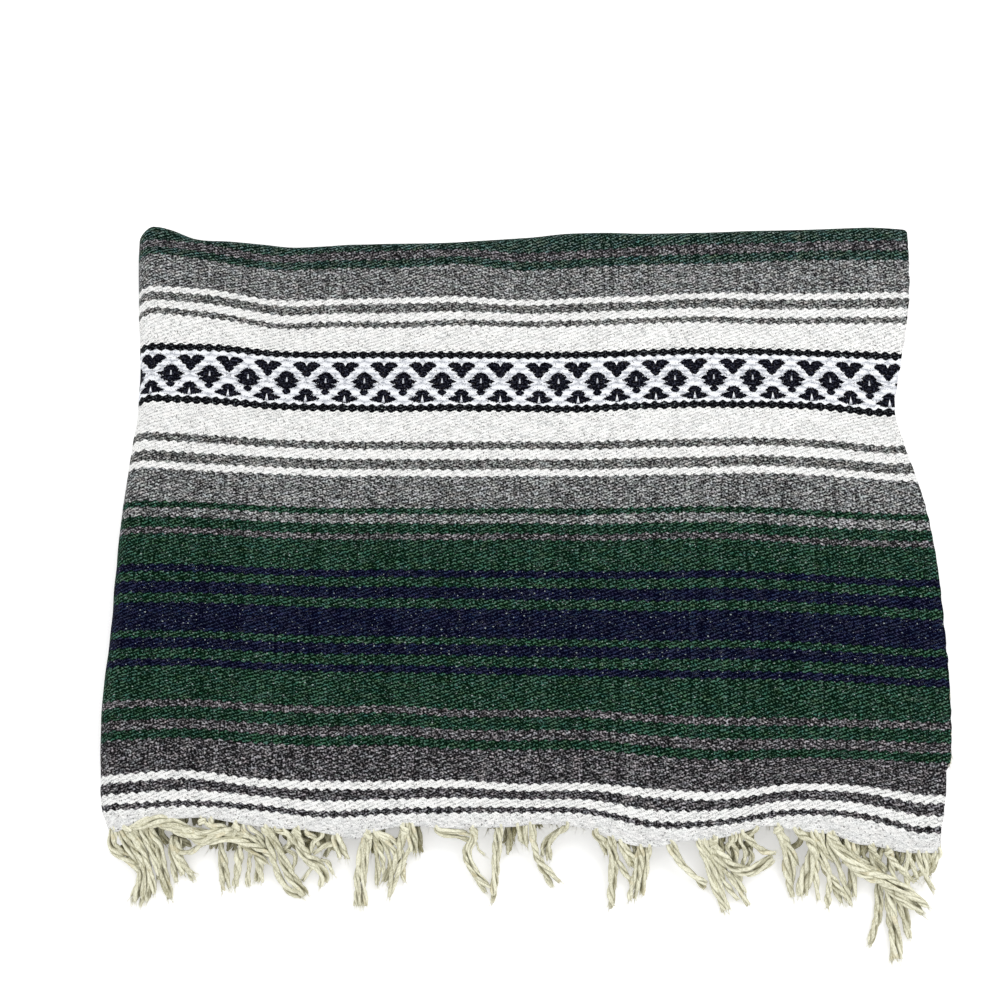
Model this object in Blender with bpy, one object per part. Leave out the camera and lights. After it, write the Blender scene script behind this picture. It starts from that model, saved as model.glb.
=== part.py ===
"""A folded Mexican falsa blanket, worn as a serape. Metres, +Z up, hem and fringe towards -Y.

The blanket is folded in half twice along its length and once across it, so eight layers lie on each
other. One outer layer shows: it runs over the top, round the left fold and back under the pile, and it
turns in over two stacked rolls at the back. The six layers inside share one solid with layered edges.
A knotted fringe hangs from the front end of the top layer, and another from that of the bottom layer.
"""

import math
from collections import namedtuple

import bmesh
import bpy
from mathutils import Vector

MM = 0.001

# Driving sizes, in millimetres.
LAYERS = 8
LAYER_PITCH = 3.5
CLOTH = 2.6
GAP = 0.3
SLACK = 1.0
PILE = LAYERS * LAYER_PITCH
SIDE_RADIUS = PILE / 2
BACK_RADIUS = 6.4
HALF_WIDTH = 318.0
LOWER_SETBACK = 2.0

# The top layer overhangs the layers below it, and droops there. The bottom layer is set back.
OVERHANG = 16.0
DROOP = 2.6
DROOP_POWER = 1.5
BOTTOM_FRONT = 9.0

# Fringe: a narrow strip past the cloth's edge carries square locks.
STRIP_DEPTH = 2.4
STRIP_HEIGHT = 2.0
LOCK_WIDTH = 2.6
LOCK_SPACE = 1.1
LOCK_TIP = 0.62
TIP_SPREAD = 3.1
SIDE_LOCK_SHORTER = 3.0
TIP_CLEARANCE = 0.5
FALL_REACH = 48.0
FALL_POWER = 1.8
FALL_STEPS = 4
LOW_STEPS = 2
STRIP_GAP = 0.5

# Resolution of the outer layer: columns from the right edge to the left fold, round it, and back.
TOP_COLUMNS = 40
FOLD_COLUMNS = 8
UNDER_COLUMNS = 12
DEPTH_ROWS = 18
HEM_CROWDING = 1.35
ROLL_ROWS = 6

# Where the pile's left fold and right edge lie, going back from the hem's line.
Side = namedtuple("Side", "y left right")
SIDES = (
    Side(-18, -305, 313),
    Side(0, -314, 314.5),
    Side(14, -319, 316.5),
    Side(50, -323, 324),
    Side(96, -325, 327),
    Side(143, -322, 326.5),
    Side(209, -321, 323.5),
    Side(254, -318.5, 317),
    Side(304, -314.5, 303.5),
    Side(330, -312, 298.5),
    Side(368, -312.5, 305.5),
    Side(410, -316, 314),
    Side(445, -318.5, 317.5),
    Side(490, -321, 318.5),
)

# How the hem waves about its line, and where the back fold's crest lies, going to the right.
End = namedtuple("End", "x hem back")
ENDS = (
    End(-317, -5, 486.5),
    End(-305, -1, 491),
    End(-290, 4.5, 488),
    End(-268, 6.3, 479),
    End(-240, 7.5, 477.4),
    End(-213, 3, 474.7),
    End(-190, 0, 472),
    End(-165, -1.5, 473),
    End(-143, -5.5, 474.7),
    End(-130, -8, 475),
    End(-112, -2, 475.5),
    End(-88, 1.5, 475.8),
    End(-55, 0, 476.8),
    End(-8, 1, 480),
    End(12, 3, 481.5),
    End(35, 1.6, 484.3),
    End(55, -2, 485.2),
    End(74, -10.5, 485.3),
    End(97, -14, 484.7),
    End(118, -9.5, 484.8),
    End(141, -8.6, 485.3),
    End(165, -3.5, 486),
    End(185, 1.6, 486.8),
    End(209, -2, 487.5),
    End(236, -5, 488.2),
    End(252, -11, 488.8),
    End(270, -13.5, 489.5),
    End(290, -17.5, 490),
    End(317, -18, 488.5),
)

# Soft swells of the top, where the layers under it are puffed: centre, reach each way and height.
Swell = namedtuple("Swell", "x y reach_x reach_y height")
SWELLS = (
    Swell(-282, 462, 34, 30, 3.2),
    Swell(-60, 300, 190, 120, 1.3),
    Swell(190, 400, 120, 70, 1.6),
    Swell(110, 62, 90, 44, 2.2),
    Swell(-215, 80, 80, 90, 1.6),
    Swell(262, 110, 50, 90, 1.8),
    Swell(-10, 120, 70, 50, 1.0),
)

# The six inner layers, from the bottom: how far each edge lies behind the pile's front and right
# edges. Layers that share a fold at the front have no groove between them.
Inner = namedtuple("Inner", "front right joined_below")
INNER_LAYERS = (
    Inner(19, 4.5, False),
    Inner(14, 2.0, False),
    Inner(14, 3.2, True),
    Inner(12, 1.6, False),
    Inner(12, 3.6, True),
    Inner(20, 2.2, False),
)
# Between layers the edge is grooved, and their front follows the hem's waves by a share of them.
GROOVE = 1.3
EDGE_ROUND = 0.5
HEM_SHARE = 0.2
INNER_COLUMNS = 20
INNER_ROWS = 12

# Knotted tassels of the top layer's fringe: root, tip and number of locks.
Tassel = namedtuple("Tassel", "x tip_x tip_y locks")
TASSELS = (
    Tassel(-292, -292, -55, 3),
    Tassel(-280, -279, -50, 2),
    Tassel(-270, -266, -48, 2),
    Tassel(-258, -251, -36, 2),
    Tassel(-241, -238, -28, 2),
    Tassel(-227, -223, -45, 2),
    Tassel(-213, -211, -42, 2),
    Tassel(-202, -200, -42, 2),
    Tassel(-189, -178, -49, 2),
    Tassel(-175, -163, -45, 2),
    Tassel(-157, -149, -30, 2),
    Tassel(-145, -138, -28, 2),
    Tassel(-132, -128, -24, 2),
    Tassel(-117, -117, -57, 3),
    Tassel(-103, -100, -36, 2),
    Tassel(-88, -89, -46, 3),
    Tassel(-66, -60, -22, 2),
    Tassel(-37, -30, -42, 3),
    Tassel(-18, -17, -53, 2),
    Tassel(-3, 1, -18, 2),
    Tassel(12, 19, -40, 3),
    Tassel(29, 32, -28, 2),
    Tassel(58, 60, -24, 2),
    Tassel(71, 72, -60, 2),
    Tassel(84, 86, -54, 3),
    Tassel(100, 101, -49, 2),
    Tassel(114, 123, -42, 2),
    Tassel(131, 141, -60, 3),
    Tassel(147, 157, -55, 3),
    Tassel(165, 174, -32, 3),
    Tassel(193, 194, -49, 3),
    Tassel(208, 209, -53, 3),
    Tassel(221, 222, -58, 2),
    Tassel(234, 236, -57, 2),
    Tassel(247, 249, -53, 3),
    Tassel(261, 263, -40, 2),
    Tassel(275, 277, -98, 3),
    Tassel(289, 292, -50, 3),
    Tassel(303, 306, -48, 2),
)

# The bottom layer's fringe lies on the floor under the first: a pair of short locks at each step,
# whose sway and reach vary along it as sine waves of these steps.
LOW_PITCH = 22.0
LOW_REACH = 26.0
LOW_SWAY = 3.0
SWAY_STEP = 2.4
REACH_VARIES = 4.0
REACH_STEP = 1.7

# Base colour, roughness and metallic value of each material.
Finish = namedtuple("Finish", "colour roughness metallic")
WOOL = Finish((0.20, 0.23, 0.22), 0.95, 0.0)
INNER_WOOL = Finish((0.32, 0.33, 0.33), 0.95, 0.0)
WARP_COTTON = Finish((0.72, 0.70, 0.56), 0.9, 0.0)


def smooth(table, key, field, at):
    """The named field of a table at a key value, on a smooth curve through the table's rows."""
    rows = [(getattr(row, key), getattr(row, field)) for row in table]
    at = min(max(at, rows[0][0]), rows[-1][0])
    i = 0
    while i < len(rows) - 2 and at > rows[i + 1][0]:
        i += 1

    def slope(k):
        before, after = rows[max(k - 1, 0)], rows[min(k + 1, len(rows) - 1)]
        return (after[1] - before[1]) / (after[0] - before[0])

    (x0, y0), (x1, y1) = rows[i], rows[i + 1]
    span = x1 - x0
    t = (at - x0) / span
    rise = y1 - y0
    bend0 = slope(i) * span - rise
    bend1 = rise - slope(i + 1) * span
    return y0 + rise * t + t * (1 - t) * (bend0 * (1 - t) + bend1 * t)


def mix(a, b, t):
    return a + (b - a) * t


def hem(x):
    return smooth(ENDS, "x", "hem", x)


def back(x):
    return smooth(ENDS, "x", "back", x)


def left_fold(y):
    return smooth(SIDES, "y", "left", y)


def right_edge(y):
    return smooth(SIDES, "y", "right", y)


def top_height(x, y):
    """Height of the top layer's upper face: flat, with swells, and a droop where it overhangs."""
    height = PILE
    for swell in SWELLS:
        away = ((x - swell.x) / swell.reach_x) ** 2 + ((y - swell.y) / swell.reach_y) ** 2
        height += swell.height * math.exp(-away)
    if y < OVERHANG:
        height -= DROOP * ((OVERHANG - y) / OVERHANG) ** DROOP_POWER
    return height


def add_material(obj, name, finish):
    material = bpy.data.materials.new(name)
    material.use_nodes = True
    shader = material.node_tree.nodes["Principled BSDF"]
    shader.inputs["Base Color"].default_value = (*finish.colour, 1.0)
    shader.inputs["Roughness"].default_value = finish.roughness
    shader.inputs["Metallic"].default_value = finish.metallic
    obj.data.materials.append(material)


def add_object(name, bm, finish):
    """Turns a bmesh in millimetres into a named object in metres, with its faces pointing out."""
    bmesh.ops.recalc_face_normals(bm, faces=bm.faces)
    bmesh.ops.scale(bm, vec=(MM, MM, MM), verts=bm.verts)
    mesh = bpy.data.meshes.new(name)
    bm.to_mesh(mesh)
    bm.free()
    mesh.shade_smooth()
    mesh.set_sharp_from_angle(angle=math.radians(50))
    obj = bpy.data.objects.new(name, mesh)
    bpy.context.scene.collection.objects.link(obj)
    add_material(obj, name + "_finish", finish)
    return obj


def add_quads(bm, grid, wrap=False):
    """Faces between the neighbouring rows and columns of a grid of vertices."""
    for row, beyond in zip(grid, grid[1:]):
        last = len(row) if wrap else len(row) - 1
        for i in range(last):
            j = (i + 1) % len(row)
            bm.faces.new((row[i], row[j], beyond[j], beyond[i]))


def roll_section(front, crest, inward):
    """(y, depth into the pile, share of a swell's lift) down one column, from its hem round its roll.

    inward is 0 on the outer face, and the cloth's thickness on the inner one."""
    centre = crest - BACK_RADIUS
    shares = [(r / DEPTH_ROWS) ** HEM_CROWDING for r in range(DEPTH_ROWS)]
    rows = [(mix(front, centre, share), inward, 1) for share in shares]
    radius = BACK_RADIUS - inward
    for r in range(ROLL_ROWS + 1):
        turn = math.pi * r / ROLL_ROWS
        depth = BACK_RADIUS - radius * math.cos(turn)
        rows.append((centre + radius * math.sin(turn), depth, ((1 + math.cos(turn)) / 2) ** 2))
    return rows


def outer_column(step, inward):
    """Points down one column. step counts from the right edge of the top to that of the underside."""
    points = []
    if step <= TOP_COLUMNS:
        share = step / TOP_COLUMNS
        nominal = mix(HALF_WIDTH, SIDE_RADIUS - HALF_WIDTH, share)
        for y, depth, lifted in roll_section(hem(nominal), back(nominal), inward):
            x = mix(right_edge(y), left_fold(y) + SIDE_RADIUS, share)
            lift = (top_height(x, y) - PILE) * lifted
            lift *= min(1, (1 - share) * TOP_COLUMNS / 2)
            points.append((x, y, PILE - depth + lift))
    elif step <= TOP_COLUMNS + FOLD_COLUMNS:
        turned = (step - TOP_COLUMNS) / FOLD_COLUMNS
        front = mix(hem(-HALF_WIDTH), BOTTOM_FRONT, turned**2)
        crest = back(-HALF_WIDTH) - LOWER_SETBACK * turned
        angle = math.pi * turned
        for y, depth, _ in roll_section(front, crest, inward):
            radius = SIDE_RADIUS - depth
            x = left_fold(y) + SIDE_RADIUS - radius * math.sin(angle)
            points.append((x, y, SIDE_RADIUS + radius * math.cos(angle)))
    else:
        share = (step - TOP_COLUMNS - FOLD_COLUMNS) / UNDER_COLUMNS
        nominal = mix(SIDE_RADIUS - HALF_WIDTH, HALF_WIDTH, share)
        crest = back(nominal) - LOWER_SETBACK
        for y, depth, _ in roll_section(BOTTOM_FRONT, crest, inward):
            x = mix(left_fold(y) + SIDE_RADIUS, right_edge(y) - LOWER_SETBACK, share)
            points.append((x, y, depth))
    return points


def outer_layer():
    """The one continuous layer that shows, as a closed wall of the cloth's thickness."""
    bm = bmesh.new()
    steps = range(TOP_COLUMNS + FOLD_COLUMNS + UNDER_COLUMNS + 1)
    columns = []
    for step in steps:
        outside = [bm.verts.new(p) for p in outer_column(step, 0)]
        inside = [bm.verts.new(p) for p in outer_column(step, CLOTH)]
        columns.append(outside + inside[::-1])
    add_quads(bm, columns, wrap=True)
    rows = len(columns[0]) // 2
    for column in (columns[0], columns[-1]):
        for r in range(rows - 1):
            bm.faces.new((column[r], column[r + 1], column[-2 - r], column[-1 - r]))
    return add_object("outer_layer", bm, WOOL)


def inner_levels():
    """(height, front setback, right setback) at each level of the hidden pile, from the bottom."""
    low = CLOTH + GAP
    pitch = (PILE - 2 * low) / len(INNER_LAYERS)
    levels = []
    for i, layer in enumerate(INNER_LAYERS):
        z = low + i * pitch
        shut_below = 0 if layer.joined_below else GROOVE
        next_joined = i + 1 < len(INNER_LAYERS) and INNER_LAYERS[i + 1].joined_below
        shut_above = 0 if next_joined else GROOVE
        if i == 0:
            levels.append((z, layer.front + GROOVE, layer.right + GROOVE))
        levels.append((z + EDGE_ROUND, layer.front + shut_below / 3, layer.right))
        levels.append((z + pitch - EDGE_ROUND, layer.front + shut_above / 3, layer.right))
        levels.append((z + pitch, layer.front + shut_above, layer.right + GROOVE))
    return levels


def roll_bump(z):
    """How far the hidden pile reaches back into the two rolls, past their centres, at a height."""
    depth = min(z, PILE - z)
    radius = BACK_RADIUS - CLOTH - GAP
    rise = radius**2 - (depth - BACK_RADIUS) ** 2
    return math.sqrt(rise) if rise > 0 else -GAP


def inner_ring(z, front_setback, right_setback):
    """One outline of the hidden pile, counter-clockwise from its front right corner."""
    round_reach = math.sqrt((SIDE_RADIUS - CLOTH - GAP) ** 2 - (z - SIDE_RADIUS) ** 2)
    step = (HALF_WIDTH - SIDE_RADIUS) / INNER_COLUMNS * 2
    across = [HALF_WIDTH - i * step for i in range(INNER_COLUMNS + 1)]
    deep = [mix(OVERHANG + SIDE_RADIUS, back(0) - PILE, i / INNER_ROWS) for i in range(INNER_ROWS + 1)]

    def crest(x):
        nearest = min(back(x - step), back(x - step / 2), back(x), back(x + step / 2), back(x + step))
        return nearest - LOWER_SETBACK - BACK_RADIUS - SLACK

    def left_end(y):
        return left_fold(y) + SIDE_RADIUS - round_reach + SLACK

    ring = [(right_edge(y) - right_setback, y) for y in deep]
    corner = right_edge(back(HALF_WIDTH)) - right_setback - EDGE_ROUND
    for i, x in enumerate(across[:-1]):
        ring.append((mix(corner, x, min(1, i / 2)), crest(x) + roll_bump(z)))
    ring.append((across[-1], crest(across[-1]) - SLACK))
    ring.append((left_end(deep[-1]) + SLACK, crest(-HALF_WIDTH) - 2 * SLACK))
    ring += [(left_end(y), y) for y in deep[::-1]]
    ring += [(x, front_setback + HEM_SHARE * hem(x)) for x in across[::-1]]
    return ring


def hidden_layers():
    """The six layers inside, as one solid: grooved at its right and front edges, rounded elsewhere."""
    bm = bmesh.new()
    rings = []
    for z, front_setback, right_setback in inner_levels():
        ring = inner_ring(z, front_setback, right_setback)
        rings.append([bm.verts.new((x, y, z)) for x, y in ring])
    add_quads(bm, rings, wrap=True)
    bm.faces.new(rings[0][::-1])
    bm.faces.new(rings[-1])
    return add_object("hidden_layers", bm, INNER_WOOL)


def lock_path(root, tip, steps):
    """Centre points of one lock, from its root on the strip, falling towards the floor."""
    floor = min(root[2], TIP_CLEARANCE + STRIP_HEIGHT / 2)
    points = []
    for k in range(1, steps + 1):
        share = k / steps
        x = mix(root[0], tip[0], share * share * (3 - 2 * share))
        y = mix(root[1], tip[1], share)
        still_up = max(0, 1 - (root[1] - y) / FALL_REACH) ** FALL_POWER
        points.append(Vector((x, y, mix(floor, root[2], still_up))))
    return points


def add_fringe(name, edge, locks, steps):
    """A strip just past the cloth's edge whose front face carries the locks, all one solid.

    edge holds the (x, y, z) of the middle of the cloth's end face, and locks holds (root x, tip)
    pairs, both from left to right."""
    bm = bmesh.new()
    half_height = STRIP_HEIGHT / 2
    half_lock = LOCK_WIDTH / 2
    starts = [root_x - half_lock for root_x, _ in locks]
    stations = {start + shift for start in starts for shift in (0, LOCK_WIDTH)}
    stations |= {starts[0] - LOCK_SPACE, starts[-1] + LOCK_WIDTH + LOCK_SPACE}
    for x, _, _ in edge:
        clear = all(abs(x - root_x) > half_lock + GAP for root_x, _ in locks)
        if clear and min(stations) < x < max(stations):
            stations.add(x)
    stations = sorted(stations)

    def front_middle(x):
        beyond = next(i for i in range(1, len(edge)) if edge[i][0] >= x or i == len(edge) - 1)
        (x0, y0, z0), (x1, y1, z1) = edge[beyond - 1], edge[beyond]
        share = (x - x0) / (x1 - x0)
        return mix(y0, y1, share) - STRIP_GAP - STRIP_DEPTH, mix(z0, z1, share)

    rings = []
    for x in stations:
        y, z = front_middle(x)
        corners = (
            (y, z - half_height),
            (y, z + half_height),
            (y + STRIP_DEPTH, z + half_height),
            (y + STRIP_DEPTH, z - half_height),
        )
        rings.append([bm.verts.new((x, *corner)) for corner in corners])
    bm.faces.new(rings[0])
    bm.faces.new(rings[-1][::-1])
    for x, ring, beyond in zip(stations, rings, rings[1:]):
        for k in range(4):
            if k or x not in starts:
                m = (k + 1) % 4
                bm.faces.new((ring[k], ring[m], beyond[m], beyond[k]))
    for start, (root_x, tip) in zip(starts, locks):
        i = stations.index(start)
        ring, beyond = rings[i], rings[i + 1]
        section = [ring[0], beyond[0], beyond[1], ring[1]]
        for k, centre in enumerate(lock_path((root_x, *front_middle(root_x)), tip, steps)):
            size = mix(1, LOCK_TIP, (k + 1) / steps)
            wide, high = size * half_lock, size * half_height
            offsets = ((-wide, -high), (wide, -high), (wide, high), (-wide, high))
            new = [bm.verts.new((centre.x + dx, centre.y, centre.z + dz)) for dx, dz in offsets]
            add_quads(bm, [section, new], wrap=True)
            section = new
        bm.faces.new(section)
    return add_object(name, bm, WARP_COTTON)


def end_face(steps):
    """The middle of the outer layer's end face at each column, from left to right."""
    middles = []
    for step in steps:
        (x, y, high), (_, _, low) = outer_column(step, 0)[0], outer_column(step, CLOTH)[0]
        middles.append((x, y, (high + low) / 2))
    return middles


def top_fringe():
    locks = []
    for tassel in TASSELS:
        for i in range(tassel.locks):
            place = i - (tassel.locks - 1) / 2
            root_x = tassel.x + place * (LOCK_WIDTH + LOCK_SPACE)
            tip_y = tassel.tip_y + SIDE_LOCK_SHORTER * abs(place)
            locks.append((root_x, (tassel.tip_x + place * TIP_SPREAD, tip_y)))
    return add_fringe("top_fringe", end_face(range(TOP_COLUMNS, -1, -1)), locks, FALL_STEPS)


def low_fringe():
    first = TOP_COLUMNS + FOLD_COLUMNS
    locks = []
    pairs = int(2 * (HALF_WIDTH - SIDE_RADIUS) / LOW_PITCH)
    for i in range(pairs):
        middle = (i - (pairs - 1) / 2) * LOW_PITCH
        sway = LOW_SWAY * math.sin(SWAY_STEP * i)
        reach = LOW_REACH + REACH_VARIES * math.sin(REACH_STEP * i)
        for side in (-1, 1):
            root_x = middle + side * (LOCK_WIDTH + LOCK_SPACE) / 2
            locks.append((root_x, (root_x + sway + side, BOTTOM_FRONT - reach)))
    under = end_face(range(first, first + UNDER_COLUMNS + 1))
    return add_fringe("low_fringe", under, locks, LOW_STEPS)


def centre_on_floor(objects):
    """Moves the meshes so that the origin is the middle of the whole part's footprint."""
    points = [vertex.co for obj in objects for vertex in obj.data.vertices]
    for axis in (0, 1):
        low = min(p[axis] for p in points)
        high = max(p[axis] for p in points)
        for p in points:
            p[axis] -= (low + high) / 2


for old in list(bpy.data.objects):
    bpy.data.objects.remove(old)
centre_on_floor([outer_layer(), hidden_layers(), top_fringe(), low_fringe()])
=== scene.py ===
"""Looks of a folded falsa blanket (a serape): cloth, layered edges, yarn fringe and woven stripes.

Sizes are in millimetres in the frame of the part's source, whose origin is the middle of the hem's
line on the floor. add_mesh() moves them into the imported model's frame, in metres.
"""

import math
import random
from collections import namedtuple
from functools import partial, partialmethod

import bpy
import numpy as np
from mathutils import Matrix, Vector


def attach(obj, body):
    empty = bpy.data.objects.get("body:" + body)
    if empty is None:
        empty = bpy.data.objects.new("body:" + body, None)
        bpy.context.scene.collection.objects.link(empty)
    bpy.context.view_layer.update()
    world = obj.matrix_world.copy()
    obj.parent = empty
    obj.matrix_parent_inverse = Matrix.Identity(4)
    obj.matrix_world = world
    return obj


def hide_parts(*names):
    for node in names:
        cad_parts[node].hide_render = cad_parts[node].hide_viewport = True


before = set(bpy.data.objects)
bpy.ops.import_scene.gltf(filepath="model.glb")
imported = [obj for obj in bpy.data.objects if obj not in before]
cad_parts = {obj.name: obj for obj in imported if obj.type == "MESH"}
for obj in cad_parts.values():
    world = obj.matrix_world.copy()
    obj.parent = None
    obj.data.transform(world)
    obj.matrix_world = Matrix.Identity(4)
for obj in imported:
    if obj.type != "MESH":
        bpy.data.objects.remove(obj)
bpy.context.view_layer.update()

MM = 0.001

# Driving sizes, as in the part's source. The cloth is a little thinner than its solid.
PILE = 28.0
SIDE_RADIUS = PILE / 2
BACK_RADIUS = 6.4
HALF_WIDTH = 318.0
LOWER_SETBACK = 2.0
OVERHANG = 16.0
DROOP = 2.6
DROOP_POWER = 1.5
BOTTOM_FRONT = 9.0
CLOTH = 2.3
CAD_CLOTH = 2.6
GAP = 0.3

# From the source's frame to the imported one.
CENTRE = np.array((1.078, 196.515, 0.0))

# Weave: the diamonds' repeat, the spacing of warps and picks, how long and how domed a float is,
# and the cloth's length from the hem to the back roll.
REPEAT = 31.3
WARP = REPEAT / 16
PICK = 0.71
FLOAT_SLOPE = 0.35
FLOAT_SWELL = 1.5
FLOAT_ENDS = 0.6
# The float height above which a float's colour gets painted highlight, and below it painted shade.
FLOAT_SHADE_MEAN = 0.62
V_LENGTH = 482.0

# Resolution of the outer cloth.
TOP_COLUMNS = 150
FOLD_COLUMNS = 18
UNDER_COLUMNS = 30
FLAT_ROWS = 150
ROLL_ROWS = 14
HEM_CROWDING = 1.15

# Outline of the folded cloth: y, the left fold and the right edge, then x, the hem and the back.
SIDES = (
    (-18, -305, 313), (0, -314, 314.5), (14, -319, 316.5), (50, -323, 324), (96, -325, 327),
    (143, -322, 326.5), (209, -321, 323.5), (254, -318.5, 317), (304, -314.5, 303.5),
    (330, -312, 298.5), (368, -312.5, 305.5), (410, -316, 314), (445, -318.5, 317.5),
    (490, -321, 318.5),
)
ENDS = (
    (-317, -5, 486.5), (-305, -1, 491), (-290, 4.5, 488), (-268, 6.3, 479), (-240, 7.5, 477.4),
    (-213, 3, 474.7), (-190, 0, 472), (-165, -1.5, 473), (-143, -5.5, 474.7), (-130, -8, 475),
    (-112, -2, 475.5), (-88, 1.5, 475.8), (-55, 0, 476.8), (-8, 1, 480), (12, 3, 481.5),
    (35, 1.6, 484.3), (55, -2, 485.2), (74, -10.5, 485.3), (97, -14, 484.7), (118, -9.5, 484.8),
    (141, -8.6, 485.3), (165, -3.5, 486), (185, 1.6, 486.8), (209, -2, 487.5), (236, -5, 488.2),
    (252, -11, 488.8), (270, -13.5, 489.5), (290, -17.5, 490), (317, -18, 488.5),
)
SIDE_Y, LEFT, RIGHT = zip(*SIDES)
END_X, HEM, BACK = zip(*ENDS)

# Soft swells of the top: x, y, reach in x and in y, and height.
SWELLS = (
    (-282, 462, 34, 30, 3.2), (-60, 300, 190, 120, 1.3), (190, 400, 120, 70, 1.6),
    (110, 62, 90, 44, 2.2), (-215, 80, 80, 90, 1.6), (262, 110, 50, 90, 1.8),
    (-10, 120, 70, 50, 1.0),
)

# Where the lines of the weave lie: v is measured along the cloth from the hem, y is how far back
# the line is at the middle, and bows are how much further back it is at stations 50 mm apart.
STATIONS = np.arange(-300, 301, 50)
Line = namedtuple("Line", "v y bows")
LINES = (
    Line(14.5, 13.9, (3.5, 6, 3, -2, 0, 1, 1, 0, -9.5, -8, -1, -2.5, -13.5)),
    Line(33.8, 30.3, (7.5, 10.5, 4.5, 2.5, 2.5, 3.5, 0.5, 1, -3.5, -5.5, 0.5, -0.5, -8)),
    Line(65.8, 63.2, (8.5, 10, 6.5, 4, 5, 1.5, 1, 1, -4, -6.5, -5.5, -6.5, -8.5)),
    Line(122, 118.7, (7.5, 7.5, 4.5, 3, 2.5, 1.5, 0.5, -0.5, -1.5, -2, -3, -5.5, -8.5)),
    Line(175, 172.0, (6, 5.5, 3.5, 1.5, 1.5, 1, 0, 0, -1, 0, -1.5, -4.5, -7.5)),
    Line(229.5, 227.0, (5.5, 4.5, 1.5, 0, 0, -0.5, 0, -1, 0.5, 1, -1.5, -5, -6)),
    Line(281.5, 277.3, (7.5, 4.5, 2, 0, 0, -0.5, 0, 0, 1, 2, 3, 0.5, -3.5)),
    Line(335.2, 329.5, (9.5, 7, 2.5, 1, 0.5, 1, 0.5, 0, 2.5, 4, 4, 2.5, -2.5)),
    Line(381, 374.5, (8.5, 7, 2, 1, 1, 1, 0.5, 1, 2.5, 4, 3.5, 2, 0)),
    Line(407, 401.4, (13, 8, -1, 0.5, 0, 2, 0.5, 1.5, 3.5, 4.5, 3, 3.5, 4)),
    Line(427.4, 420.6, (13, 8.5, 0.5, 1.5, 2.5, 3.5, 0.5, 2.5, 4, 6.5, 5.5, 6, 7)),
    Line(458.7, 448.7, (17.5, 9, 2.5, 4, 4.5, 8, 2, 5, 7, 8, 10, 11.5, 11.5)),
    Line(473, 464.5, (12.5, 6, -2, 1.5, 2.5, 4, 0.5, 2.5, 6, 8.5, 9, 11, 12)),
)

# Soft creases of the top: x and y from and to, half width and height (a trough's is negative).
CREASES = (
    (-300, 420, -180, 468, 12, 0.9), (-296, 372, -200, 440, 9, -0.6), (60, 0, 118, 92, 13, 0.8),
    (140, 2, 170, 70, 11, -0.7), (196, 8, 214, 88, 12, 0.7), (288, -6, 300, 120, 10, 0.6),
    (-262, 10, -250, 110, 12, 0.6), (-150, 4, -138, 60, 9, -0.6), (250, 300, 296, 345, 14, -0.7),
    (262, 360, 300, 400, 12, 0.5), (-308, 180, -230, 250, 12, 0.4), (0, 470, 140, 455, 10, 0.5),
)
# A crease is full up to this share of its length from its middle, and fades over the next.
CREASE_LEVEL = 0.3
CREASE_FADE = 0.35

# Ripples: each is a sum of waves with this seed, about this long and this high.
Ripple = namedtuple("Ripple", "seed length height")
RIPPLE_WAVES = 9
TOP_RIPPLES = (Ripple(11, 46, 0.22), Ripple(12, 17, 0.07))
FOLD_RIPPLE = Ripple(21, 40, 0.35)
SELVEDGE_RIPPLE = Ripple(23, 13, 0.3)
LAYER_SIDE_RIPPLE = Ripple(31, 60, 0.8)
LAYER_FRONT_RIPPLE = Ripple(41, 70, 1.0)

# A pulled thread draws the right edge in: how far, from which y, over which step, and down to
# which y and over how much it eases out.
NOTCH_DEPTH = 2.8
NOTCH_START = 47.0
NOTCH_STEP = 4.0
NOTCH_END = 22.0
NOTCH_EASE = 22.0

# The back right corner is cut off softly, and the selvedge's upper edge is rounded.
CORNER_DEPTH = 7.0
CORNER_WIDTH = 9.0
CORNER_CUT = 4.0
EDGE_DROP = 0.8
EDGE_INSIDE = -0.4
EDGE_WIDTH = 2.2
# How fast the lifts of the top fade towards the left fold.
FOLD_FADE = 16

# Stripes from the hem: where each one ends, and its yarn.
WHITE, DARK, GREY, CHARCOAL, GREEN, NAVY, BLACK, SAGE = range(8)
KINDS = 8
STRIPES = (
    (10.5, WHITE), (14.8, CHARCOAL), (21.9, WHITE), (29.6, CHARCOAL), (35.4, WHITE),
    (59.4, CHARCOAL), (66.9, GREEN), (74.7, CHARCOAL), (84.6, GREEN), (90.9, CHARCOAL),
    (118.0, GREEN), (123.3, NAVY), (132.2, GREEN), (140.6, NAVY), (146.4, GREEN), (168.8, NAVY),
    (176.8, GREEN), (185.9, NAVY), (193.6, GREEN), (199.4, NAVY), (224.4, GREEN), (229.0, CHARCOAL),
    (237.9, GREEN), (245.7, GREY), (250.6, GREEN), (277.8, GREY), (283.4, WHITE), (291.5, DARK),
    (300.2, WHITE), (306.4, DARK), (332.1, WHITE), (338.5, BLACK), (378.0, WHITE), (383.9, BLACK),
    (404.5, WHITE), (410.0, DARK), (416.8, WHITE), (424.7, DARK), (429.6, WHITE), (457.2, GREY),
    (465.2, SAGE), (473.1, CHARCOAL), (511.0, SAGE), (530.0, NAVY),
)
RAMP_STEPS = 256

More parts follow.
